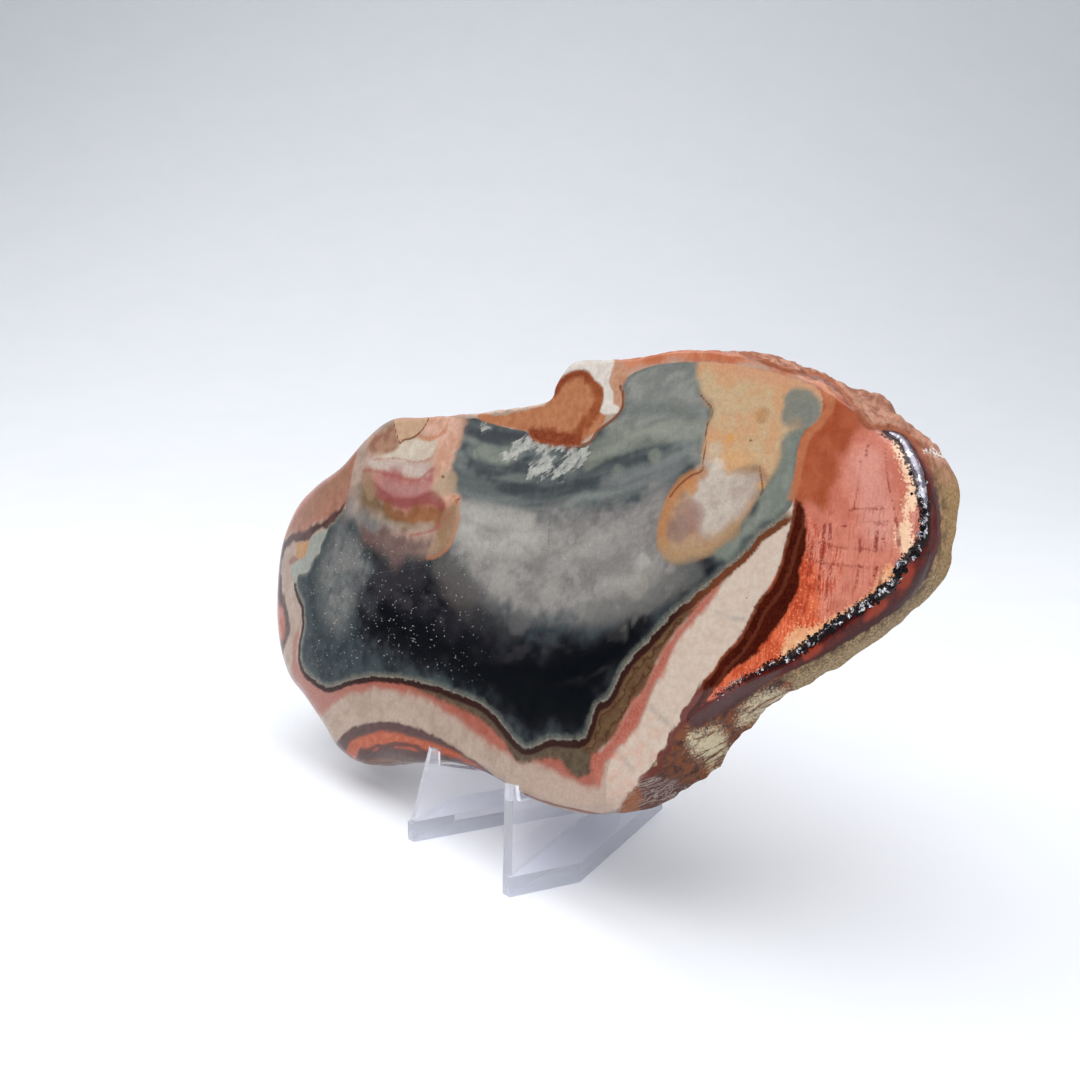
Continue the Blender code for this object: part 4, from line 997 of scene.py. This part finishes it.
def paintStone():
    material, tree, shader = newMaterial("polishedJasper")

    def mark(name, output="Fac"):
        return addNode(tree, "ShaderNodeAttribute", attribute_name=name).outputs[output]

    def centred(field, size):
        return doMath(tree, "MULTIPLY_ADD", field, size, -0.5 * size)

    def step(value, low, high, bottom=0.0, top=1.0):
        return stepBetween(tree, value, low, high, bottom, top)

    def both(first, second):
        return doMath(tree, "MULTIPLY", first, second)

    def tones(first, second, mask):
        return layOver(tree, paintColour(*stoneTones[first]), paintColour(*stoneTones[second]), mask)

    def paint(under, colour, mask):
        # colour is the name of a tone, or a colour that changes over the stone
        over = paintColour(*stoneTones[colour]) if isinstance(colour, str) else colour
        return layOver(tree, under, over, mask)

    def cells(size):
        # round cells: distance from the middle of each, and a random colour
        node = addNode(tree, "ShaderNodeTexVoronoi", {"Vector": place, "Scale": size, "Randomness": 1.0})
        return node.outputs

    place = mark("layerPlace", "Vector")
    acrossX, upV = addNode(tree, "ShaderNodeSeparateXYZ", {0: place}).outputs[:2]
    middle = noiseField(tree, place, 0.55, 3.0, 0.6)
    fine = noiseField(tree, place, 2.4, 4.0, 0.65)
    wander = doMath(tree, "ADD", centred(middle, 1.8), centred(fine, 0.6))
    ragged = doMath(tree, "ADD", centred(fine, 4.4), centred(middle, 1.4))
    speckle = doMath(tree, "MULTIPLY_ADD", middle, 0.5, both(fine, 0.5))
    mottle = step(speckle, 0.38, 0.62)

    def shifted(distance, wobble, drift=wander):
        return doMath(tree, "MULTIPLY_ADD", drift, wobble, distance)

    def edge(distance, soft, wobble, strength=1.0, drift=wander):
        # 1 inside a mark, 0 outside it
        return step(shifted(distance, wobble, drift), -soft, soft, 0.0, strength)

    def lay(under, layers, drift=wander):
        for name, first, second, soft, wobble, strength in layers:
            mix = layOver(tree, paintColour(*first), paintColour(*second), mottle)
            under = layOver(tree, under, mix, edge(mark(name), soft, wobble, strength, drift))
        return under

    # bands outside the dark middle, with brushed red streaks in the pink field
    brushed = noiseField(tree, stretched(tree, place, (0.3, 2.6, 2.0), 0.1), 1.0, 3.0, 0.55)
    field = both(step(acrossX, 56.5, 58.5), step(upV, 60.0, 52.0, 0.1, 0.36))
    stone = paint(mark("outerTint", "Color"), "brushedRed", both(step(brushed, 0.5, 0.66), field))
    ember = edge(mark("ember"), 0.7, 0.9)
    stone = paint(stone, "emberRed", both(step(brushed, 0.5, 0.58, 0.0, 0.6), ember))
    stone = paint(stone, "emberPale", both(step(fine, 0.55, 0.62, 0.0, 0.6), ember))
    stone = lay(stone, paleBands)
    white = edge(mark("white"), 0.3, 0.5)
    lowWhite = both(step(upV, 24.0, 12.0, 0.0, 0.45), step(middle, 0.35, 0.7))
    stone = paint(stone, "whiteLowPink", both(lowWhite, white))
    stone = paint(stone, "whiteLowGrey", both(step(upV, 10.0, 3.0, 0.0, 0.75), white))
    stone = paint(stone, "smudge", edge(mark("greySmudges"), -0.5, 1.0, 0.6))
    stone = lay(stone, edgeBands)
    stone = lay(stone, raggedLayers, ragged)
    stone = lay(stone, darkBands)
    rimDistance = mark("bodyRim")
    body = mark("body")
    # wavy lines that follow the body's edge through the olive zone
    ripple = doMath(tree, "SINE", both(doMath(tree, "ADD", rimDistance, centred(middle, 3.2)), 3.2))
    stone = paint(stone, "ripple", both(step(ripple, 0.5, 0.98, 0.0, 0.62), edge(mark("olive"), 0.3, 0.3)))
    # stripes of the dark band, measured from the white band's edge
    stripeAt = shifted(mark("whiteEdge"), 0.6)
    bandMask = edge(mark("darkBand"), 0.3, 0.5)
    inStripe = both(step(stripeAt, 1.4, 1.8), step(stripeAt, 2.4, 2.0, 0.0, 0.8))
    stone = paint(stone, "stripeMiddle", both(inStripe, bandMask))
    stone = paint(stone, "stripeEdge", both(step(stripeAt, 0.6, 0.2), bandMask))
    # the dark line and its pale halo round the body, below its top and not at the upper left
    outside = both(step(body, 0.3, -0.3), step(upV, 54.2, 52.4))
    lineAt = doMath(tree, "SUBTRACT", shifted(rimDistance, 1.3), centred(middle, 1.6))
    upperLeft = both(step(acrossX, -50.0, -54.0), step(upV, 30.0, 33.0))
    drawn = both(outside, doMath(tree, "SUBTRACT", 1.0, upperLeft))
    lineTone = tones("lineLeft", "lineRight", step(acrossX, 36.0, 44.0))
    stone = paint(stone, lineTone, both(step(lineAt, 1.9, 1.35), drawn))
    haloAt = shifted(rimDistance, 0.8)
    haloTone = tones("haloPale", "haloDark", step(fine, 0.36, 0.64))
    stone = paint(stone, haloTone, both(step(haloAt, 0.68, 0.36), outside))
    stone = lay(stone, rimSpots)

    # the dark middle
    glow = both(step(haloAt, 1.0, -0.1, 0.0, 0.55), step(fine, 0.3, 0.6, 0.4, 1.0))
    inner = paint(mark("bodyTint", "Color"), "innerGlow", glow)
    slanted = noiseField(tree, stretched(tree, place, (2.6, 1.0, 2.0), 0.6), 1.0, 4.0, 0.6)
    fleckAt = doMath(tree, "ADD", mark("flecks"), centred(slanted, 7.0))
    fleckTone = tones("fleckPale", "fleckGrey", mottle)
    inner = paint(inner, fleckTone, step(fleckAt, -0.6, 0.35, 0.0, 0.9))
    facetTone = tones("tanFacetPale", "tanFacetDark", mottle)
    inner = paint(inner, facetTone, edge(mark("tanFacet"), 0.2, 0.2))
    # pale bubbles in the cloud
    bubbles = cells(stoneFinish["bubbles"])
    bubbleAt = doMath(tree, "ADD", bubbles["Distance"], centred(middle, 0.4))
    bubbleMask = both(step(bubbleAt, 0.36, 0.26, 0.0, 0.42), step(bubbles["Color"], 0.35, 0.8))
    cloudZone = both(both(step(upV, 33.0, 36.5), step(upV, 46.0, 42.0)),
                     both(step(acrossX, -4.0, 3.0), step(acrossX, 30.0, 25.0)))
    inner = paint(inner, "bubble", both(bubbleMask, cloudZone))
    stone = paint(stone, inner, step(shifted(body, 0.3), -0.12, 0.12))
    stone = lay(stone, notchLayers)
    # fine strokes, the scratches broken up
    for name, colour, start, full, wobble, strength in strokeLayers:
        stroke = step(shifted(mark(name), wobble), start, full, 0.0, strength)
        if name == "redScratches":
            stroke = both(stroke, step(speckle, 0.45, 0.53))
        stone = paint(stone, paintColour(*colour), stroke)

    # the slice's outer wall: iron stained along the top, brown below
    wall = step(shifted(mark("behindFace"), 0.8), 1.0, 2.2, 0.0, 0.8)
    rust = tones("wallRust", "wallRustDark", step(middle, 0.4, 0.62))
    earth = tones("wallEarth", "wallEarthDark", mottle)
    stone = paint(stone, paint(earth, rust, step(upV, 45.0, 55.0)), wall)

    # dark red stone behind the crystal seam, with glowing patches
    behindSeam = shifted(mark("seamSide"), 0.6)
    stone = paint(stone, tones("seamRed", "seamDeep", mottle), step(behindSeam, -0.2, 0.3))
    stone = paint(stone, "seamGlow", edge(mark("seamGlow"), 0.4, 1.0, 0.85))
    stone = paint(stone, "seamOuter", step(behindSeam, 1.8, 2.6))
    # a mauve line along the inside of the upper rind
    rindEdge = shifted(mark("rindSide"), 0.4)
    mauveLine = both(step(rindEdge, -0.7, -0.2, 0.0, 0.6), step(upV, 46.0, 52.0))
    stone = paint(stone, "rindMauve", mauveLine)
    # black speckled edge under the crystals, thinner towards the facet
    seamAt = doMath(tree, "ADD", mark("seam"), centred(fine, 3.0))
    seamAt = doMath(tree, "ADD", seamAt, step(acrossX, 60.0, 51.0, 0.0, 0.6))
    stone = paint(stone, "seamBlack", step(seamAt, 0.85, 0.6, 0.0, 0.95))
    # the rind: khaki to the right, pinkish along the top, with a rusty line at its edge there
    crumb = noiseField(tree, place, 2.6, 4.0, 0.65)
    high = step(shifted(upV, 2.0), 58.0, 64.0)
    khaki = tones("rindLow", "rindHigh", step(upV, 45.0, 54.0))
    khaki = paint(khaki, "rindPale", step(crumb, 0.38, 0.66))
    khaki = paint(khaki, "rindShade", both(step(rindEdge, 1.3, 0.1, 0.0, 0.75), step(middle, 0.62, 0.4)))
    pink = tones("rindPink", "rindPinkPale", step(middle, 0.38, 0.62))
    stone = paint(stone, paint(khaki, pink, high), step(rindEdge, -0.15, 0.2))
    rustLine = both(step(doMath(tree, "ABSOLUTE", rindEdge), 0.5, 0.2, 0.0, 0.8), high)
    stone = paint(stone, "rindRust", rustLine)
    chips = both(mark("whiteChips"), -1.0)
    stone = paint(stone, "whiteChip", edge(chips, 0.12, 0.5, 0.95, ragged))

    # the broken facet: brown stone with fibrous pale streaks that run up to the right
    fibre = noiseField(tree, stretched(tree, place, (7.0, 0.9, 3.0), 0.62), 1.0, 5.0, 0.7, 0.8)
    brown = tones("facetBrown", "facetDark", step(fibre, 0.4, 0.6))
    brown = paint(brown, "facetStain", both(step(middle, 0.42, 0.56), step(upV, 10.5, 13.5, 0.0, 0.75)))
    lowest = step(shifted(upV, 1.0), 12.0, 10.5)
    threadAt = doMath(tree, "ABSOLUTE", doMath(tree, "SUBTRACT", fibre, 0.5))
    threads = both(step(threadAt, 0.03, 0.012), lowest)
    brown = paint(brown, "facetLowest", both(lowest, 0.7))
    brown = paint(brown, "facetThread", both(threads, 0.7))
    stone = paint(stone, brown, edge(mark("facet"), 0.3, 0.8))
    stone = paint(stone, "facetRust", edge(mark("facetRust"), 0.6, 1.0, 0.7))
    creams = [edge(mark(name), 1.2, 1.3, 1.0, ragged) for name in ("facetCream", "facetCreamUpper")]
    stone = paint(stone, "facetCream", both(doMath(tree, "MAXIMUM", *creams), step(fibre, 0.38, 0.5)))
    stone = paint(stone, "facetPlum", edge(mark("facetPlum"), 0.3, 0.7, 0.95))
    skin = both(step(shifted(mark("whiteEdge"), 0.5), 0.75, 0.4), step(upV, 27.5, 25.0))
    stone = paint(stone, "facetSkin", both(skin, step(upV, 8.0, 11.0)))

    # quartz sparks in the dark middle
    dots = cells(stoneFinish["sparks"])
    sparkSize = step(dots["Color"], 0.3, 1.0, 0.02, 0.24)
    spark = both(doMath(tree, "LESS_THAN", dots["Distance"], sparkSize), mark("sparkle"))
    stone = paint(stone, "spark", both(spark, step(middle, 0.45, 0.52)))
    # grain over everything
    cloudy = noiseField(tree, place, 1.15, 3.0, 0.6)
    grain = both(step(fine, 0.28, 0.72, 0.91, 1.07), step(cloudy, 0.3, 0.7, 0.94, 1.06))
    grained = addNode(tree, "ShaderNodeMix", {0: 1.0, 6: stone, 7: grain}, data_type="RGBA",
                      blend_type="MULTIPLY")
    tree.links.new(grained.outputs[2], shader.inputs["Base Color"])

    # finish: polished face, matt rind and facet
    rough = mark("roughStone")
    polish, smear = addPolish(tree, place, *stoneFinish["polish"])
    sheen = addNode(tree, "ShaderNodeMix", {0: rough, 2: polish, 3: stoneFinish["matt"]})
    tree.links.new(sheen.outputs[0], shader.inputs["Roughness"])
    shader.inputs["IOR"].default_value = stoneFinish["ior"]
    shader.inputs["Specular IOR Level"].default_value = stoneFinish["specular"]
    lumps = both(noiseField(tree, place, 1.1, 4.0, 0.72), both(rough, 0.6))
    height = doMath(tree, "MULTIPLY_ADD", smear, 0.03, lumps)
    bump = addNode(tree, "ShaderNodeBump", {"Height": height, "Strength": stoneFinish["bump"], "Distance": mm})
    tree.links.new(bump.outputs[0], shader.inputs["Normal"])
    return material


def makeSlice():
    work = buildSliceMesh()
    piece = meshPiece("jasperSlice", work)
    markSlice(piece)
    for vertex in piece.data.vertices:
        vertex.co = toWorld(*vertex.co)
    low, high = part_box("jasper_slice")
    for vertex in piece.data.vertices:
        vertex.co = [min(max(value, least), most) for value, least, most in zip(vertex.co, low, high)]
    turned = bmesh.new()
    turned.from_mesh(piece.data)
    bmesh.ops.recalc_face_normals(turned, faces=turned.faces)
    turned.to_mesh(piece.data)
    turned.free()
    piece.data.shade_smooth()
    piece.data.materials.append(paintStone())
    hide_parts("jasper_slice")
    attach(piece, "root")
    return piece


slicePiece = makeSlice()
print("slice:", len(slicePiece.data.polygons), "faces")


# a crust of dark metallic crystals along the right of the slice, and a bright vein above it
crystalSeam = {
    "seed": 7,
    "beads": 760,
    "beadStart": 30,             # first bead's place, in twelfths of the seam's spans
    "beadSize": (0.14, 0.66),    # mm
    "spread": 0.36,              # mm either side of the seam
    "taper": (50.0, 63.0),       # x where the crust is thinnest, and where it reaches its full size
    "sink": 0.62,                # share of a bead's size that lies in the stone
    "veinWidth": 0.72,           # mm
    "veinEnds": (0, 5),          # first and last point of the seam that the vein follows
    "veinShift": (0.35, 0.1),    # mm from the seam
    "veinSink": 0.22,            # mm
    "veinCrook": (0.9, 0.12),    # size and height of its bends, mm
    "aim": (-8.0, 14.0),         # mm before and behind the face between which the surface is sought
    "grain": 900.0,              # spots in a metre
}


def crystalAim(x, v, d):
    # runs along the fan of the stone's layers, from a place on the face to depth d
    fanX, fanV, reach = jasperSlice["layerFan"]
    return x - (fanX - x) * d / reach, v - (fanV - v) * d / reach, d


def onStone(x, v):
    # where a mark of the face lies on the slice's surface, and which way the surface faces
    before, behind = crystalSeam["aim"]
    start = toWorld(*crystalAim(x, v, before))
    end = toWorld(*crystalAim(x, v, behind))
    spot, normal, _, _ = sliceTree.ray_cast(start, (end - start).normalized())
    return spot, normal


def crystalMaterial(name, dark, light, polish):
    material, tree, shader = newMaterial(name)
    place = addNode(tree, "ShaderNodeTexCoord").outputs["Object"]
    tint = noiseField(tree, place, crystalSeam["grain"], 3.0, 0.6)
    # the light colour, laid over the dark one in small patches, is painted glints; with the metallic finish
    # these patches also reflect the lamps for real
    colour = layOver(tree, paintColour(*dark), paintColour(*light), stepBetween(tree, tint, 0.53, 0.62))
    tree.links.new(colour, shader.inputs["Base Color"])
    rough, smear = addPolish(tree, place, polish, 0.2, crystalSeam["grain"])
    tree.links.new(rough, shader.inputs["Roughness"])
    shader.inputs["Metallic"].default_value = 0.8
    bump = addNode(tree, "ShaderNodeBump", {"Height": smear, "Strength": 0.5, "Distance": 0.2 * mm})
    tree.links.new(bump.outputs[0], shader.inputs["Normal"])
    return material


def makeBead():
    # a small ball, with its faces sorted: the operator stores them in another order each run
    ball = bmesh.new()
    bmesh.ops.create_uvsphere(ball, u_segments=7, v_segments=5, radius=1.0)
    corners = [corner.co.copy() for corner in ball.verts]
    rings = []
    for face in ball.faces:
        ring = [corner.index for corner in face.verts]
        first = ring.index(min(ring))
        rings.append(ring[first:] + ring[:first])
    ball.free()
    bead = bpy.data.meshes.new("bead")
    bead.from_pydata(corners, [], sorted(rings))
    return bead


def makeCrystals():
    picker = np.random.default_rng(crystalSeam["seed"])
    line = throughPoints(seamLine, False, 12)[crystalSeam["beadStart"]:]
    smallest, largest = crystalSeam["beadSize"]
    thin, full = crystalSeam["taper"]
    beadMesh = makeBead()
    work = bmesh.new()
    for _ in range(crystalSeam["beads"]):
        seamX, seamV = line[picker.integers(len(line))]
        seamX += picker.normal(0, crystalSeam["spread"])
        seamV += picker.normal(0, crystalSeam["spread"])
        lump = noise.noise(Vector((seamX, seamV, 0.0)) * 0.55)
        share = min(max((seamX - thin) / (full - thin), 0.3), 1.0)
        share *= min(max(0.75 + 1.2 * lump, 0.35), 1.15)
        size = smallest + (largest * share - smallest) * picker.random() ** 1.4
        spot, normal = onStone(seamX, seamV)
        if spot is None:
            continue
        turn = Matrix.Rotation(picker.uniform(0, math.tau), 4, picker.normal(size=3))
        shape = Matrix.Translation(spot - normal * size * crystalSeam["sink"] * mm) @ turn
        shape = shape @ Matrix.Diagonal((size * mm, size * picker.uniform(0.6, 1.1) * mm, size * mm, 1))
        bead = beadMesh.copy()
        bead.transform(shape)
        work.from_mesh(bead)
        bpy.data.meshes.remove(bead)
    piece = meshPiece("crystalSeam", work)
    # near-black crust, with painted glints in the second colour
    piece.data.materials.append(crystalMaterial("seamCrystal", (16, 13, 15), (212, 210, 216), 0.1))
    return piece


def makeVein():
    first, last = crystalSeam["veinEnds"]
    path = throughPoints(seamLine[first:last + 1], False, 5)
    curve = bpy.data.curves.new("silverVein", "CURVE")
    curve.dimensions = "3D"
    curve.bevel_depth = crystalSeam["veinWidth"] * mm
    curve.bevel_resolution = 3
    curve.use_fill_caps = True
    spline = curve.splines.new("POLY")
    spline.points.add(len(path) - 1)
    shiftX, shiftV = crystalSeam["veinShift"]
    for index, (x, v) in enumerate(path):
        spot, normal = onStone(x + shiftX, v + shiftV)
        spline.points[index].co = (*(spot - normal * crystalSeam["veinSink"] * mm), 1.0)
        share = index / (len(path) - 1)
        spline.points[index].radius = 0.25 + 0.75 * math.sin(math.pi * min(share * 1.1, 1.0)) ** 0.5
    drawn = bpy.data.objects.new("veinCurve", curve)
    work = bmesh.new()
    drawnMesh = drawn.to_mesh()
    work.from_mesh(drawnMesh)
    bmesh.ops.remove_doubles(work, verts=work.verts, dist=1e-7)
    noise.seed_set(crystalSeam["seed"])
    bendSize, bendHeight = crystalSeam["veinCrook"]
    for vertex in work.verts:
        bend = noise.noise_vector(vertex.co / (bendSize * mm))
        vertex.co += bend * bendHeight * mm
    bmesh.ops.recalc_face_normals(work, faces=work.faces)
    drawn.to_mesh_clear()
    bpy.data.objects.remove(drawn)
    piece = meshPiece("silverVein", work)
    piece.data.shade_smooth()
    # silver-grey vein, with painted glints in the second colour
    piece.data.materials.append(crystalMaterial("veinSilver", (150, 144, 156), (244, 242, 248), 0.2))
    return piece


sliceTree = BVHTree.FromObject(slicePiece, bpy.context.evaluated_depsgraph_get())
for seamPiece in (makeCrystals(), makeVein()):
    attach(seamPiece, "root")
    print(seamPiece.name + ":", len(seamPiece.data.polygons), "faces")


# clear stand: a little milky, so that thin edges show, and faintly lavender in thick places
clearStand = {
    "milk": (0.95, 0.95, 1.0, 1.0),      # colour of the part that isn't clear
    "clearness": 0.76,
    "ior": 1.49,
    "polish": (0.03, 0.05, 240.0),       # roughness, its smears, their size
    "tint": (236, 236, 248),             # what thick plastic lets through
    "density": 3.0,
    "shadow": (0.9, 0.9, 0.93, 1.0),     # share of the lamps' light that reaches the floor
}


def dressStand():
    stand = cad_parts["display_stand"]
    material, tree, shader = newMaterial("clearPlastic")
    place = addNode(tree, "ShaderNodeTexCoord").outputs["Object"]
    shader.inputs["Base Color"].default_value = clearStand["milk"]
    shader.inputs["Transmission Weight"].default_value = clearStand["clearness"]
    shader.inputs["IOR"].default_value = clearStand["ior"]
    polish, smear = addPolish(tree, place, *clearStand["polish"])
    tree.links.new(polish, shader.inputs["Roughness"])
    bump = addNode(tree, "ShaderNodeBump", {"Height": smear, "Strength": 0.12, "Distance": 0.05 * mm})
    tree.links.new(bump.outputs[0], shader.inputs["Normal"])
    absorb = addNode(tree, "ShaderNodeVolumeAbsorption", {"Color": paintColour(*clearStand["tint"]),
                     "Density": clearStand["density"]})
    tree.links.new(absorb.outputs[0], tree.nodes["Material Output"].inputs["Volume"])
    # lamps shine through it to the floor
    path = addNode(tree, "ShaderNodeLightPath")
    through = addNode(tree, "ShaderNodeBsdfTransparent", {"Color": clearStand["shadow"]})
    cover = addNode(tree, "ShaderNodeMixShader", {0: path.outputs["Is Shadow Ray"], 1: shader.outputs[0],
                    2: through.outputs[0]})
    tree.links.new(cover.outputs[0], tree.nodes["Material Output"].inputs["Surface"])
    stand.data.materials.clear()
    stand.data.materials.append(material)


dressStand()
print("stand: dressed")


# camera, floor and light
mainView = {
    "eye": (144.0, -108.75, 91.1),      # mm from the middle of the stand's tips
    "azimuth": 0.84072299,              # radians
    "elevation": 0.17532377,
    "lens": 36.0,
    "sensor": 36.0,
}


def makeCamera():
    azimuth, elevation = mainView["azimuth"], mainView["elevation"]
    ahead = -Vector((math.sin(azimuth) * math.cos(elevation), -math.cos(azimuth) * math.cos(elevation),
                     math.sin(elevation)))
    across = ahead.cross(Vector((0, 0, 1))).normalized()
    upward = across.cross(ahead)
    turn = Matrix((across, upward, -ahead)).transposed().to_4x4()
    lens = bpy.data.cameras.new("mainCamera")
    lens.sensor_width = mainView["sensor"]
    lens.lens = mainView["lens"]
    lens.clip_start = 0.001
    camera = bpy.data.objects.new("mainCamera", lens)
    camera.matrix_world = Matrix.Translation(origin + Vector(mainView["eye"]) * mm) @ turn
    bpy.context.scene.collection.objects.link(camera)
    bpy.context.scene.camera = camera


makeCamera()

studio = {
    "sweepFront": 2.0,                   # metres of floor before the stand
    "sweepReach": 0.35,                  # metres from the stand to the rising backdrop
    "sweepBend": 1.1,
    "sweepSteps": 32,
    "sweepHeight": 2.2,
    "sweepWidth": 3.2,
    "lamps": (                           # name, place, aim, size in metres, watts
        ("topBox", (-0.08, -0.23, 0.9), (0, 0, 0), (1.3, 1.3), 12.7),
        ("frontBox", (0.7, -0.9, 0.6), (0, 0, 0.04), (0.6, 0.6), 2.2),
    ),
    "darkSide": (-0.73, -0.66, 0.18),    # direction of the room's dark side
    "darkReach": (0.9, 0.45),            # how near that direction it is darkest, and where it ends
    "airLight": (0.02, 0.38),            # strength there, and everywhere else
    "airColour": (0.92, 0.95, 1.0, 1.0),
    "airSeen": 0.92,                     # strength where the camera sees it past the backdrop
}


def makeSweep():
    # floor that curves up into a backdrop, behind the stand as the camera sees it
    turn = mainView["azimuth"]
    reach, height, width = studio["sweepReach"], studio["sweepHeight"], studio["sweepWidth"]
    bendRadius, steps, front = studio["sweepBend"], studio["sweepSteps"], studio["sweepFront"]
    work = bmesh.new()
    first = work.verts.new((-width / 2, -front, 0.0))
    second = work.verts.new((width / 2, -front, 0.0))
    strip = work.edges.new((first, second))
    stops = [Vector((0, reach, 0))]
    for step in range(1, steps + 1):
        angle = step / steps * math.pi / 2
        stops.append(Vector((0, reach + bendRadius * math.sin(angle), bendRadius * (1 - math.cos(angle)))))
    stops.append(Vector((0, reach + bendRadius, height)))
    here = Vector((0, -front, 0.0))
    edges = [strip]
    for stop in stops:
        grown = bmesh.ops.extrude_edge_only(work, edges=edges)["geom"]
        verts = [part for part in grown if isinstance(part, bmesh.types.BMVert)]
        edges = [part for part in grown if isinstance(part, bmesh.types.BMEdge)]
        bmesh.ops.translate(work, verts=verts, vec=stop - here)
        here = stop
    bmesh.ops.rotate(work, cent=(0, 0, 0), matrix=Matrix.Rotation(turn, 3, "Z"), verts=work.verts)
    bmesh.ops.recalc_face_normals(work, faces=work.faces)
    sweep = meshPiece("paperSweep", work)
    sweep.data.shade_smooth()
    material, tree, shader = newMaterial("palePaper")
    place = addNode(tree, "ShaderNodeTexCoord").outputs["Object"]
    grain = noiseField(tree, place, 30.0, 1.0, 0.5)
    colour = layOver(tree, paintColour(240, 243, 248), paintColour(245, 247, 251), grain)
    tree.links.new(colour, shader.inputs["Base Color"])
    tree.links.new(stepBetween(tree, grain, 0.2, 0.8, 0.72, 0.8), shader.inputs["Roughness"])
    sweep.data.materials.append(material)


def addSoftbox(name, place, aim, size, power):
    light = bpy.data.lights.new(name, "AREA")
    light.shape = "RECTANGLE"
    light.size, light.size_y = size
    light.energy = power
    lamp = bpy.data.objects.new(name, light)
    lamp.location = place
    lamp.rotation_euler = (Vector(aim) - Vector(place)).to_track_quat("-Z", "Y").to_euler()
    bpy.context.scene.collection.objects.link(lamp)


def makeAir():
    # pale air all round, apart from a dark side of the room in front and to the left
    world = bpy.data.worlds.new("studioAir")
    world.use_nodes = True
    tree = world.node_tree
    sky = tree.nodes["Background"]
    heading = addNode(tree, "ShaderNodeTexCoord").outputs["Generated"]
    facing = addNode(tree, "ShaderNodeVectorMath", {0: heading, 1: studio["darkSide"]}, operation="DOT_PRODUCT")
    air = stepBetween(tree, facing.outputs["Value"], *studio["darkReach"], *studio["airLight"])
    # seen straight past the backdrop, the air is even
    straight = addNode(tree, "ShaderNodeLightPath").outputs["Is Camera Ray"]
    seen = addNode(tree, "ShaderNodeMix", {0: straight, 2: air, 3: studio["airSeen"]})
    tree.links.new(seen.outputs[0], sky.inputs["Strength"])
    sky.inputs["Color"].default_value = studio["airColour"]
    bpy.context.scene.world = world


makeSweep()
for lamp in studio["lamps"]:
    addSoftbox(*lamp)
makeAir()
bpy.context.scene.view_settings.view_transform = "Standard"
print("studio: ready")
